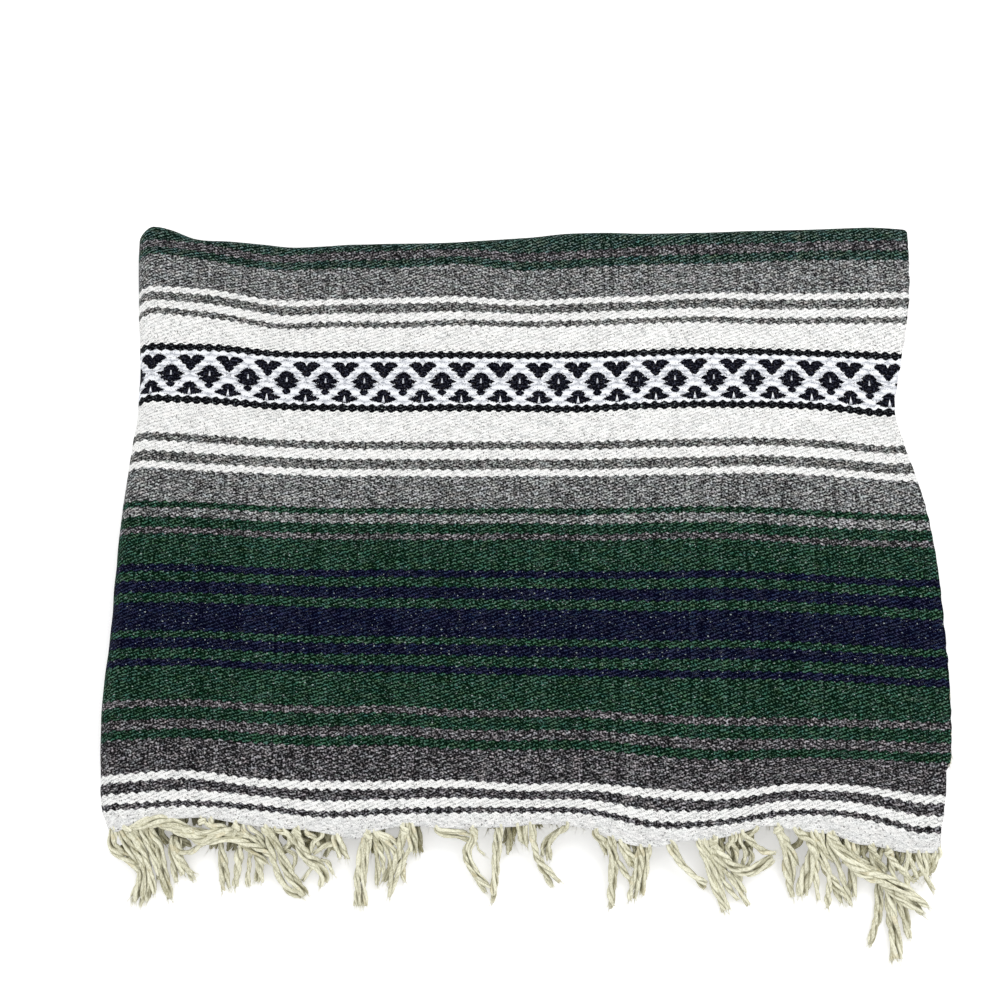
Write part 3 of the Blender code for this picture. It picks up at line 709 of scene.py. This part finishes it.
class YarnMesh:
    """Collects soft twisted yarns and thin loose fibres as one mesh."""

    def __init__(self):
        self.points, self.faces, self.cloth, self.groove, self.count = [], [], [], [], 0

    def tube(self, line, normals, radii, strand, along, inner=()):
        """A closed tube along a line, whose cross-sections stand on the given frames.

        inner holds the angles at which its neighbours lie: there, and on its lower sides, the
        yarn's colour gets painted shade.
        """
        first, second = normals
        rings, sides = radii.shape
        angles = np.arange(sides) * math.tau / sides
        cos, sin = np.cos(angles)[None, :, None], np.sin(angles)[None, :, None]
        offsets = cos * first[:, None, :] + sin * second[:, None, :]
        points = line[:, None, :] + offsets * radii[:, :, None]
        self.faces += tube_faces(rings, sides, self.count)
        self.points.append(points.reshape(-1, 3))
        around = angles[None, :] * radii.max()
        flat = np.broadcast_arrays(along[:, None], around, np.full((1, 1), strand * 50.0))
        self.cloth.append(np.stack(flat, -1).reshape(-1, 3))
        # Painted shade: the yarn's colour darkens on its lower and outer sides and where it faces
        # its neighbours.
        deep = np.zeros((rings, sides))
        if inner:
            deep = deep + np.clip(SIDE_START - np.sin(angles), 0, 1)[None, :] * SIDE_SHADE
        for turn, share in inner:
            facing = np.clip(np.cos(angles[None, :] - turn[:, None]), 0, 1) ** GROOVE_SHADE_POWER
            deep = np.maximum(deep, facing * share[:, None])
        self.groove.append(deep.ravel())
        self.count += rings * sides

    def yarn(self, line, rng, size=1.0, open_end=True, laid=None):
        """A yarn of two soft plies along a line, which thins at its tip.

        laid is its angle in its strand.
        """
        along, side, over = frames(line)
        tip = np.exp(-(((along[-1] - along) / TIP_LENGTH) ** 2)) * open_end
        phase, strand = rng.uniform(0, math.tau), rng.random()
        twist = TWIST_LENGTH * rng.uniform(0.85, 1.4)
        for k in range(2):
            turn = phase + math.tau * (along / twist + k / 2)
            turn = turn + 0.8 * np.sin(along / 9.0 + phase * 3)
            loose = 1 + 0.3 * np.sin(along / 7.0 + phase * 5) + 0.25 * tip
            away = (np.cos(turn) * side.T + np.sin(turn) * over.T).T
            centre = line + away * (PLY_OFFSET * size * loose)[:, None]
            swell = 1 + 0.14 * np.sin(along / 4.1 + phase * 7 + k * 2)
            thick = PLY_RADIUS * size * swell * (1 - 0.5 * tip)
            if open_end:
                thick = thick * mix(ROOT_SHARE, 1, np.clip(along / ROOT_LENGTH, 0, 1))
            lumps = np.array([[rng.uniform(0.88, 1.12) for _ in range(PLY_SIDES)] for _ in along])
            # Painted shade where the two plies face each other, and in a strand where its yarns do.
            inner = [(turn + math.pi, 1 - tip)]
            if laid is not None:
                inner.append((laid + math.pi, (1 - tip) * YARN_GROOVE_SHADE))
            radii = thick[:, None] * lumps
            self.tube(centre, (side, over), radii, strand + 0.013 * k, along, inner)

    def hair(self, start, way, length, rng, radius):
        """A loose fibre that bends away, and stays over the floor."""
        share = np.linspace(0, 1, 5)[:, None]
        bend = np.array([rng.uniform(-1, 1) for _ in range(3)])
        line = start + np.asarray(way) * share * length + bend * share**2 * length * 0.35
        line[:, 2] = np.maximum(line[:, 2], 0.5)
        along, side, over = frames(line)
        radii = radius * (1.05 - 0.75 * share)
        self.tube(line, (side, over), np.repeat(radii, 3, axis=1), rng.random(), along)

    def build(self, name):
        cloth, groove = np.concatenate(self.cloth), np.concatenate(self.groove)
        return add_mesh(name, np.concatenate(self.points), self.faces, cloth, groove)


def tangents(line):
    ways = np.gradient(line, axis=0)
    return ways / np.linalg.norm(ways, axis=1)[:, None]


def frames(line):
    """Lengths along a line, and two directions across it at each of its points."""
    step = np.linalg.norm(np.diff(line, axis=0), axis=1)
    along = np.concatenate([[0], np.cumsum(step)])
    tangent = tangents(line)
    side = np.cross(tangent, (0, 0, 1.0))
    side /= np.maximum(np.linalg.norm(side, axis=1), 1e-6)[:, None]
    return along, side, np.cross(side, tangent)


def spline(points):
    """Points about a yarn's step apart on a smooth curve through the given ones."""
    points = np.asarray(points, float)
    gaps = np.linalg.norm(np.diff(points, axis=0), axis=1)
    keys = np.concatenate([[0], np.cumsum(gaps)])
    at = np.linspace(0, keys[-1], max(4, int(keys[-1] / YARN_STEP) + 1))
    return np.stack([smooth(keys, column, at) for column in points.T], axis=1)


def fuzz(hairs, line, rng, size=1.0, tips=9):
    """Loose fibres along a yarn and a brush of them at its tip."""
    along, side, over = frames(line)
    tangent = tangents(line)
    for _ in range(tips):
        at = len(line) - 1 - min(len(line) - 1, int(rng.uniform(0, 4.0)))
        away = side[at] * rng.uniform(-1, 1) + over[at] * rng.uniform(-0.6, 0.6)
        start, way = line[at] + away * 1.2 * size, tangent[at] + away * 0.25
        hairs.hair(start, way, rng.uniform(3, 8), rng, rng.uniform(0.12, 0.24))
    for _ in range(int(along[-1] / FUZZ_SPACING)):
        at = rng.randrange(2, len(line))
        away = side[at] * rng.choice((-1, 1)) + over[at] * rng.uniform(-0.3, 0.9)
        start, way = line[at] + away * 1.9 * size, tangent[at] + away * 0.6
        hairs.hair(start, way, rng.uniform(2, 5), rng, rng.uniform(0.08, 0.14))


def hem_height(x, y):
    return PILE + float(lift_of(np.array(x, float), np.array(y, float)))


def fallen(y_root, y, root_z, floor_z):
    """How high a strand lies as it bends down from the hem to the floor."""
    still_up = np.clip(1 - (y_root - y) / FALL_REACH, 0, 1) ** FALL_POWER
    return mix(floor_z, root_z, still_up)


def knot(yarns, rng, centre, width):
    """A small overhand knot: two slanting turns of yarn round a strand's root."""
    turns = np.linspace(0, 1, 30)
    angle = turns * math.tau * 2.0 + rng.uniform(0, 1)
    slant = rng.choice((-1, 1)) * 0.6
    x = centre[0] + np.cos(angle) * width
    z = centre[2] + np.sin(angle) * 1.5
    y = centre[1] + (turns - 0.5) * 3.0 + np.cos(angle) * width * slant
    yarns.yarn(np.column_stack([x, y, z]), rng, KNOT_SIZE, open_end=False)


def strand(yarns, hairs, rng, bundle):
    """A strand of the top fringe: its yarns laid round each other, and its knot if it has one."""
    root_x, root_y = bundle.path[:2]
    edge = float(hem(root_x))
    root_z = hem_height(root_x, edge) - CLOTH / 2
    points = np.reshape(bundle.path, (-1, 2))
    if root_y > edge - ROOT_REACH:
        points = [(root_x, max(edge + 5.0, root_y + 3.0)), *points]
    centre = spline(points)
    phase, twist = rng.uniform(0, math.tau), STRAND_TWIST * rng.uniform(0.8, 1.3)
    several = bundle.yarns > 1
    for k in range(bundle.yarns):
        shorter = min(len(centre) - 4, int(rng.uniform(0, 4) if several else 0))
        line = centre[: len(centre) - shorter]
        share = np.linspace(0, 1, len(line))
        z = fallen(edge + 1.0, line[:, 1], root_z, STRAND_FLOOR + bundle.lift * LIFT_STEP)
        z = z - 1.6 * np.clip((line[:, 1] - edge) / 5, 0, 1)
        z = z + bundle.lift * np.sin(np.pi * np.clip(share * 1.2, 0, 1)) * 0.5
        line = np.column_stack([line, z])
        along, side, over = frames(line)
        turn = phase + math.tau * (k / bundle.yarns + along / twist)
        reach = STRAND_RADII[bundle.yarns] * bundle.size * (1 + 0.7 * share**3)
        reach = reach * mix(0.6, 1.0, np.minimum(share * 4, 1))
        line = line + side * (np.cos(turn) * reach)[:, None]
        line = line + over * (np.sin(turn) * reach * 0.6)[:, None]
        line[:, 0] += 0.5 * np.sin(share * rng.uniform(5, 11) + rng.uniform(0, math.tau)) * share
        line[:, 2] = np.maximum(line[:, 2], FLOOR_CLEARANCE * bundle.size)
        size = bundle.size * rng.uniform(0.92, 1.06)
        yarns.yarn(line, rng, size, laid=turn if several else None)
        fuzz(hairs, line, rng, bundle.size)
    if bundle.knotted:
        width = bundle.size * (1.1 + 0.4 * bundle.yarns)
        knot(yarns, rng, (root_x, edge - 2.4, root_z + 0.6), width)


def top_fringe(rng):
    """The top layer's fringe, and its loose fibres with the pulled threads of the selvedge."""
    yarns, hairs = YarnMesh(), YarnMesh()
    for row in BUNDLES:
        strand(yarns, hairs, rng, Bundle(*row))
    pulled = random.Random(5)
    for y in PULLED_THREADS:
        start = np.array([float(selvedge(np.array(y))[0]) - 0.5, y, PILE - 0.8])
        way = (pulled.uniform(0.05, 0.3), pulled.choice((-1, 1)) * 0.9, pulled.uniform(0, 0.25))
        hairs.hair(start, way, pulled.uniform(3, 6), pulled, pulled.uniform(0.28, 0.42))
    return yarns.build("fringe_top"), hairs.build("fringe_fibres")


def lone_yarn(yarns, rng, path, root_z, tip_z):
    """A single yarn along a path, from one height to another."""
    line = spline(path)
    z = mix(root_z, tip_z, np.linspace(0, 1, len(line)) ** 1.5)
    line = np.column_stack([line, z])
    yarns.yarn(line, rng, rng.uniform(0.85, 1.0))
    fuzz(yarns, line, rng, tips=5)


def low_fringe(rng):
    """Fringe of the lowest layer: short pairs of yarns on the floor, longer where they are seen."""
    yarns = YarnMesh()
    front = BOTTOM_FRONT
    count = int(2 * (HALF_WIDTH - SIDE_RADIUS) / LOW_PITCH)
    for i in range(count):
        middle = (i - (count - 1) / 2) * LOW_PITCH + rng.uniform(-3, 3)
        seen = any(start < middle < end for start, end in UNDER_SPANS)
        reach = rng.uniform(12, 28) if seen else rng.uniform(5, 8)
        sway = rng.uniform(-7, 7) * reach / 20
        for side in (-1, 1):
            x = middle + side * 1.6
            bent, tip = (x + sway * 0.4, front - reach * 0.5), (x + sway + side, front - reach)
            z = LOW_HEIGHT + rng.uniform(0, 0.3)
            lone_yarn(yarns, rng, [(x, front + 5), (x, front), bent, tip], z, z)
    return yarns.build("fringe_low")


def under_fringe(rng):
    """Fringe of the second layer, glimpsed between the top one's strands."""
    yarns = YarnMesh()
    for start, end in UNDER_SPANS:
        x = start + rng.uniform(0, 4)
        while x < end:
            edge = float(hem(x))
            reach = rng.uniform(8, 20)
            sway = rng.uniform(-11, 11)
            bent = (x + rng.uniform(-5, 5), edge - reach * 0.5)
            path = [(x, edge + 16), (x, edge + 4), bent, (x + sway, edge - reach)]
            lone_yarn(yarns, rng, path, UNDER_HEIGHT, rng.uniform(5, 10))
            x += rng.uniform(3.5, 6.5)
    return yarns.build("fringe_under")


def feed(tree, value, socket):
    """Links a field or an output to a socket, or sets the socket to a number or a colour."""
    value = value.socket if isinstance(value, Field) else value
    if isinstance(value, bpy.types.NodeSocket):
        tree.links.new(value, socket)
    elif socket.type == "RGBA":
        socket.default_value = (*value, 1.0)
    else:
        socket.default_value = value


def set_inputs(node, values):
    for name, value in values.items():
        node.inputs[name].default_value = value


class Field:
    """A value in a shader's node tree, with arithmetic."""

    def __init__(self, tree, socket):
        self.tree, self.socket = tree, socket

    def operate(self, operation, *others, clamp=False):
        node = self.tree.nodes.new("ShaderNodeMath")
        node.operation, node.use_clamp = operation, clamp
        for value, socket in zip((self, *others), node.inputs):
            feed(self.tree, value, socket)
        return Field(self.tree, node.outputs[0])

    __add__ = partialmethod(operate, "ADD")
    __sub__ = partialmethod(operate, "SUBTRACT")
    __mul__ = partialmethod(operate, "MULTIPLY")
    __truediv__ = partialmethod(operate, "DIVIDE")
    __pow__ = partialmethod(operate, "POWER")
    floor = partialmethod(operate, "FLOOR")
    absolute = partialmethod(operate, "ABSOLUTE")
    sine = partialmethod(operate, "SINE")
    cosine = partialmethod(operate, "COSINE")
    root = partialmethod(operate, "SQRT")
    most = partialmethod(operate, "MAXIMUM")
    over = partialmethod(operate, "GREATER_THAN")
    under = partialmethod(operate, "LESS_THAN")
    clamped = partialmethod(operate, "ADD", 0.0, clamp=True)

    def wrapped(self, size):
        return self.operate("WRAP", size, 0.0)

    def rest(self):
        """What is missing to 1."""
        return self * -1.0 + 1.0


class Cloth:
    """Builds a node material piece by piece."""

    def __init__(self, name):
        self.material = bpy.data.materials.new(name)
        self.material.use_nodes = True
        self.tree = self.material.node_tree
        self.shader = self.tree.nodes["Principled BSDF"]

    def node(self, kind, inputs=(), **settings):
        """A new node with these settings, and values or links for its inputs."""
        node = self.tree.nodes.new(kind)
        for key, value in settings.items():
            setattr(node, key, value)
        for key, value in inputs:
            feed(self.tree, value, node.inputs[key])
        return node

    def fields(self, sockets):
        return [Field(self.tree, socket) for socket in sockets]

    def parts(self, vector):
        return self.fields(self.node("ShaderNodeSeparateXYZ", [(0, vector)]).outputs)

    def attribute(self, name):
        return self.node("ShaderNodeAttribute", attribute_name=name).outputs

    def vector(self, x, y, z):
        return self.node("ShaderNodeCombineXYZ", enumerate((x, y, z))).outputs[0]

    def chance(self, x, y, z=0.0):
        """A random value for each whole (x, y, z)."""
        inputs = [("Vector", self.vector(x, y, z))]
        node = self.node("ShaderNodeTexWhiteNoise", inputs, noise_dimensions="3D")
        return Field(self.tree, node.outputs["Value"])

    def noise(self, x, y, z, detail=1.0, roughness=0.5):
        place = self.vector(x, y, z)
        inputs = [("Vector", place), ("Scale", 1.0), ("Detail", detail), ("Roughness", roughness)]
        node = self.node("ShaderNodeTexNoise", inputs, noise_dimensions="3D")
        return Field(self.tree, node.outputs["Fac"])

    def ramp(self, at, stops):
        """A colour for each place: stops are (place from 0 to 1, linear colour)."""
        node = self.node("ShaderNodeValToRGB", [(0, at)])
        ramp = node.color_ramp
        ramp.interpolation = "CONSTANT"
        while len(ramp.elements) < len(stops):
            ramp.elements.new(1.0)
        for element, (place, colour) in zip(ramp.elements, stops):
            element.position = place
            element.color = (*colour, 1.0)
        return node.outputs[0]

    def blend(self, share, a, b):
        inputs = [(0, share), (6, a), (7, b)]
        return self.node("ShaderNodeMix", inputs, data_type="RGBA").outputs[2]

    def product(self, a, b):
        return self.node("ShaderNodeVectorMath", [(0, a), (1, b)], operation="MULTIPLY").outputs[0]

    def scaled(self, colour, factor):
        inputs = [(0, colour), ("Scale", factor)]
        return self.node("ShaderNodeVectorMath", inputs, operation="SCALE").outputs[0]

    def finish(self, colour, relief, strength, values):
        """Gives the shader its colour, its relief in millimetres and its other values."""
        inputs = [("Strength", strength), ("Distance", MM), ("Height", relief)]
        bump = self.node("ShaderNodeBump", inputs)
        feed(self.tree, bump.outputs[0], self.shader.inputs["Normal"])
        feed(self.tree, colour, self.shader.inputs["Base Color"])
        set_inputs(self.shader, values)
        return self.material


def linear(colour):
    """An sRGB colour from 0 to 255 as linear values."""
    shares = [c / 255 for c in colour]
    return tuple(c / 12.92 if c <= 0.04045 else ((c + 0.055) / 1.055) ** 2.4 for c in shares)


def stripe_kind(cloth, pick):
    """Which yarn the pick is, as its number over KINDS.

    A ramp holds RAMP_STEPS places, one for each pick, and three ramps hold all of them.
    """
    edges = [0] + [round(end / PICK) for end, _ in STRIPES[:-1]]
    kinds = [kind / KINDS for _, kind in STRIPES]
    chosen = None
    for start in range(0, 3 * RAMP_STEPS, RAMP_STEPS):
        stops = [(0.0, [kind for edge, kind in zip(edges, kinds) if edge <= start][-1])]
        for edge, kind in zip(edges, kinds):
            if start < edge < start + RAMP_STEPS:
                stops.append(((edge - start - 0.5) / (RAMP_STEPS - 1), kind))
        at = (pick + (0.5 - start)) / (RAMP_STEPS - 1)
        here = Field(cloth.tree, cloth.ramp(at, [(place, (kind,) * 3) for place, kind in stops]))
        chosen = here if chosen is None else chosen + (here - chosen) * pick.over(start - 0.5)
    return chosen


def weave(u, v):
    """The twill's floats, each over two warps and two picks: pick, warp in its middle and height.

    Each place lies in the right half of one float and the left half of another: the higher shows.
    """
    s, t = u / WARP, v / PICK
    warp = s.floor()
    right = s - warp
    halves = []
    for k, along in enumerate((right, right - 1.0)):
        level = t + along * FLOAT_SLOPE - warp - (0.5 + k)
        turn = (level / 4.0 + 0.5).floor()
        off = level - turn * 4.0
        pick = warp + turn * 4.0 + float(k)
        height = off * off * (-1 / FLOAT_SWELL**2) + 1.0 - along * along * FLOAT_ENDS
        halves.append((pick, height))
    (pick0, height0), (pick1, height1) = halves
    first = height0.over(height1)
    return pick1 + (pick0 - pick1) * first, warp + 1.0 - first, height0.most(height1)


def floats_of(u, v):
    """How far inside the band's black floats a place is, where they are cut, and their waves."""
    wave = (u * (math.tau * 4 / REPEAT)).cosine()
    from_vee = ((u - (FIRST_VEE - REPEAT / 2)).wrapped(REPEAT) - REPEAT / 2).absolute()
    from_diamond = (from_vee - REPEAT / 2).absolute()
    from_wing = (from_vee - WING_CENTRE).absolute()
    columns = {VEE: from_vee, WING: from_wing, DIAMOND: from_diamond}
    nearest = None
    for one in FLOATS:
        across = columns[one.column] / one.half_length
        up = (v - one.at) / one.half_height
        lens = across * across * -1.0 + 1.0 - up.absolute()
        nearest = lens if nearest is None else nearest.most(lens)
    high = (from_vee * HIGH_NOTCH_SLOPE + HIGH_NOTCH).under(v)
    low = (from_vee * LOW_NOTCH_SLOPE + v).under(LOW_NOTCH) * v.over(LOW_NOTCH_END)
    slit = (from_diamond + (v - SLIT_MIDDLE) * SLIT_LEAN).under(SLIT_HALF_WIDTH)
    slit = slit * v.over(SLIT_FROM) * v.under(SLIT_TO)
    return nearest, high.most(low).most(slit), wave


def cloth_material(name, shade=1.0):
    """Weft-faced twill with heathered stripes and a band of diamonds, from the cloth's (u, v)."""
    cloth = Cloth(name)
    u, v, layer = cloth.parts(cloth.attribute("cloth")["Vector"])

    def grainy(grain):
        seed = layer + grain.seed if grain.seed else layer
        return cloth.noise(u / grain.across, v / grain.along, seed, grain.detail, grain.roughness)

    def yarn_blend(tone, kind):
        return cloth.blend(tone, linear(YARNS[kind].dark), linear(YARNS[kind].light))

    slow = grainy(SLOW)
    wander = grainy(WANDER)
    v = v + (wander - 0.5) * 1.2
    pick, middle, height = weave(u, v)
    kind = stripe_kind(cloth, pick)
    is_white = kind.under(0.06)
    is_grey = (kind - 0.25).absolute().under(0.2)
    is_deep = kind.over(0.45)
    is_navy = (kind - NAVY / KINDS).absolute().under(0.05)

    by_float = cloth.chance(middle, pick, layer) - 0.5
    by_warp = cloth.chance((u / WARP).floor(), 3.0, layer) - 0.5
    fibres, lumps, clumps, fine = [grainy(g) - 0.5 for g in (FIBRES, LUMPS, CLUMPS, FINE)]
    worn = (v / FLATTENED).clamped() ** 2.0 * 0.8 + 0.2
    # Painted shade and highlight: floats are lighter on their crowns, darker at their ends and in
    # the gaps.
    painted_float_shade = (height.clamped() - FLOAT_SHADE_MEAN) * worn
    even = clumps * 0.8 + (slow - 0.5) * 0.35
    white = by_float * (worn * 0.3 + 0.2) + fibres * (worn * 1.7 + 1.0) + even + painted_float_shade * 0.6
    white = (white + worn * 0.18 + (YARNS[WHITE].level - 0.18)).clamped()
    lumpy = lumps * (is_deep * -0.8 - is_navy * 0.8 + 4.0)
    uneven = by_float * (is_grey * 0.5 + 0.5) + by_warp * 0.3 + lumpy + even
    mottled = fine * is_navy * 2.6 + uneven + painted_float_shade * (is_deep * 0.8 + 1.2)

    def by_kind(values):
        stops = [((k - 0.5) / KINDS if k else 0.0, values(YARNS[k])) for k in sorted(YARNS)]
        return cloth.ramp(kind, stops)

    # A ramp holds values from 0 to 1, so the powers are a quarter of themselves in it.
    spreads = by_kind(lambda yarn: (yarn.level, yarn.spread, yarn.power / 4))
    level, spread, power = cloth.parts(spreads)
    mottled = (mottled * spread + level).clamped() ** (power * 4.0)
    tone = mottled + (white - mottled) * is_white
    dark, light = by_kind(lambda yarn: linear(yarn.dark)), by_kind(lambda yarn: linear(yarn.light))
    colour = cloth.blend(tone, dark, light)
    stain = is_grey * -0.9 + is_white * -1.15 + 1.2
    red = (grainy(RED_TINT) - 0.5) * stain + 1.0
    blue = (grainy(BLUE_TINT) - 0.5) * stain * 0.7 + 1.0
    colour = cloth.product(colour, cloth.vector(red, 1.0, blue))
    peek = height.under(0.1) * cloth.chance(middle, pick, layer + PEEK_SEED).over(PEEK_RARITY)
    colour = cloth.blend(peek * is_white.rest() * 0.6, colour, linear(PEEK))

    # The band of diamonds: black floats on a pale ground of rows, between two black lines.
    nearest, cut, wave = floats_of(u, v)
    inked = (nearest + fibres * 0.35 + (grainy(RAGGED) - 0.5) * 0.7).over(0.02) * cut.rest()
    lines = [
        ((v - line.at).absolute() + wave * line.scallop + fibres * 1.5).under(line.half_width)
        for line in (LOW_LINE, HIGH_LINE)
    ]
    inside = v.over(LOW_LINE.at) * v.under(HIGH_LINE.at)
    in_band = v.over(LOW_LINE.at - LOW_LINE.margin) * v.under(HIGH_LINE.at + HIGH_LINE.margin)
    place = (v - ROW_MIDDLE + wave * 0.25) / ROW_PITCH
    row = (place + 0.5).floor()
    turn = (u - FIRST_VEE) * (math.tau / REPEAT) + row * (math.pi / 2)
    swell = turn.sine().absolute().root()
    rows = (swell * 1.25 - (place - row).absolute() * 2.0).clamped()
    # Painted shade: the pale ground is lighter on each row's crown and darker between the rows.
    ground_tone = (fibres * 2.2 + clumps * 1.0 + rows * 1.1 + 0.32).clamped()
    pale = cloth.blend(ground_tone, linear(GROUND_DARK), linear(GROUND_LIGHT))
    dash = grainy(DASHES).over(0.735) * rows.under(0.75)
    pale = cloth.blend(dash * 0.75, pale, linear(DASH))
    # Painted highlight: each black float is lighter towards its middle.
    ink_tone = (nearest * 0.35 + lumps * 1.8 + 0.02).clamped() ** 2.0
    ink = cloth.blend(ink_tone, linear(INK_DARK), linear(INK_LIGHT))
    black = YARNS[BLACK]
    # The black lines get the floats' painted shade and highlight too.
    line_tone = (painted_float_shade * 0.9 + lumps * 2.6 + black.level).clamped() ** black.power
    band = cloth.blend(inside, yarn_blend(white, WHITE), cloth.blend(inked, pale, ink))
    band = cloth.blend(lines[0].most(lines[1]), band, yarn_blend(line_tone, BLACK))
    colour = cloth.blend(in_band, colour, band)

    # Sparse neps: dark specks in the white, pale ones elsewhere.
    here = cloth.chance((u / NEP_PATCH).floor(), (v / NEP_PATCH).floor(), NEP_SEED).over(0.4)
    nep = grainy(NEPS).over(0.705) * here * is_white * 0.75
    colour = cloth.blend(nep, colour, linear(NEP))
    fleck = grainy(FLECKS).over(0.78) * is_white.rest() * 0.5
    colour = cloth.blend(fleck, colour, linear(FLECK))
    # Painted shade: a darker copy of the cloth, for the hidden layers under the top one.
    if shade != 1.0:
        colour = cloth.scaled(colour, shade)

    relief = height + in_band * inside * (rows * 0.9 + nearest.most(0.0) * 0.8 - height)
    relief = relief * worn * 0.42 + fibres * 0.16 + clumps * 0.12
    return cloth.finish(colour, relief, 0.85, CLOTH_SURFACE)


def fringe_material(name, level=0.76):
    """Cream cotton: fine streaks along each ply, olive painted shade, and yarns of different tints.
    """
    cloth = Cloth(name)
    along, around, strand = cloth.parts(cloth.attribute("cloth")["Vector"])
    groove = Field(cloth.tree, cloth.attribute("groove")["Fac"])
    fibre = cloth.noise(along / 5.0, (around + along * 0.5) / 0.9, strand, 2.0, 0.7)
    patch = cloth.noise(along / 12.0, around / 6.0, strand)
    yarn = cloth.chance((strand * 7.0).floor(), 1.0)
    specks = cloth.noise(along / 1.3, around / 1.1, strand + 5.0) - 0.5
    tone = (fibre - 0.5) * 1.4 + specks * 1.0 + (patch - 0.5) * 0.8 + (yarn - 0.5) * 0.3 + level
    colour = cloth.blend(tone.clamped(), linear(COTTON_DARK), linear(COTTON_LIGHT))
    ochre = cloth.noise(along / 16.0, 2.0, strand).over(0.66) * 0.18
    colour = cloth.blend(ochre, colour, linear(OCHRE))
    # Painted shade: the yarns' grooves and lower sides are darkened towards olive.
    colour = cloth.blend((groove * 1.4 - 0.1).clamped() * 0.82, colour, linear(GROOVE_SHADE))
    return cloth.finish(colour, fibre * 0.4, 0.7, COTTON_SURFACE)


def add_camera():
    data = bpy.data.cameras.new("camera")
    data.sensor_width = 36.0
    data.lens = 56.95
    data.shift_x = -0.023
    camera = add_object("camera", data)
    camera.location = (Vector((0, -69.34, 1235.41)) - Vector(CENTRE)) * MM
    camera.rotation_euler = (math.radians(15), 0, 0)
    bpy.context.scene.camera = camera


def add_light():
    data = bpy.data.lights.new("key", "AREA")
    data.shape = "DISK"
    data.size = 0.9
    data.energy = 7.0
    light = add_object("key", data)
    light.location = KEY_PLACE
    light.rotation_mode = "QUATERNION"
    light.rotation_quaternion = (Vector(KEY_AIM) - Vector(KEY_PLACE)).to_track_quat("-Z", "Y")


def add_stage():
    mesh = bpy.data.meshes.new("floor")
    corners = [(x * FLOOR_REACH, y * FLOOR_REACH) for x, y in ((-1, -1), (1, -1), (1, 1), (-1, 1))]
    mesh.from_pydata([(x, y, FLOOR_Z) for x, y in corners], [], [(0, 1, 2, 3)])
    paper = bpy.data.materials.new("paper")
    paper.use_nodes = True
    set_inputs(paper.node_tree.nodes["Principled BSDF"], PAPER_SURFACE)
    mesh.materials.append(paper)
    add_object("floor", mesh)
    world = bpy.data.worlds.new("studio")
    world.use_nodes = True
    set_inputs(world.node_tree.nodes["Background"], {"Color": (1, 1, 1, 1), "Strength": 0.92})
    bpy.context.scene.world = world
    add_light()
    bpy.context.scene.view_settings.view_transform = "Standard"


rng = random.Random(7)
add_camera()
cloth_look = cloth_material("striped_cloth")
# The hidden layers' cloth, darkened as painted shade.
inner_look = cloth_material("inner_cloth", 0.9)
cotton = fringe_material("fringe_cotton")
# A darker copy of the cotton for the lower fringes: painted shade, as they lie under the hem.
shaded_cotton = fringe_material("fringe_shaded", 0.32)

outer = outer_cloth()
outer.data.materials.append(cloth_look)
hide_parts("outer_layer")
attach(outer, "root")

pile = inner_pile()
pile.data.materials.append(inner_look)
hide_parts("hidden_layers")
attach(pile, "root")

fringe, fibres = top_fringe(rng)
for piece in (fringe, fibres):
    piece.data.materials.append(cotton)
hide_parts("top_fringe")
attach(fringe, "root")
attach(fibres, "root")

low = low_fringe(rng)
low.data.materials.append(shaded_cotton)
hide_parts("low_fringe")
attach(low, "root")

second = under_fringe(rng)
second.data.materials.append(shaded_cotton)
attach(second, "root")

add_stage()
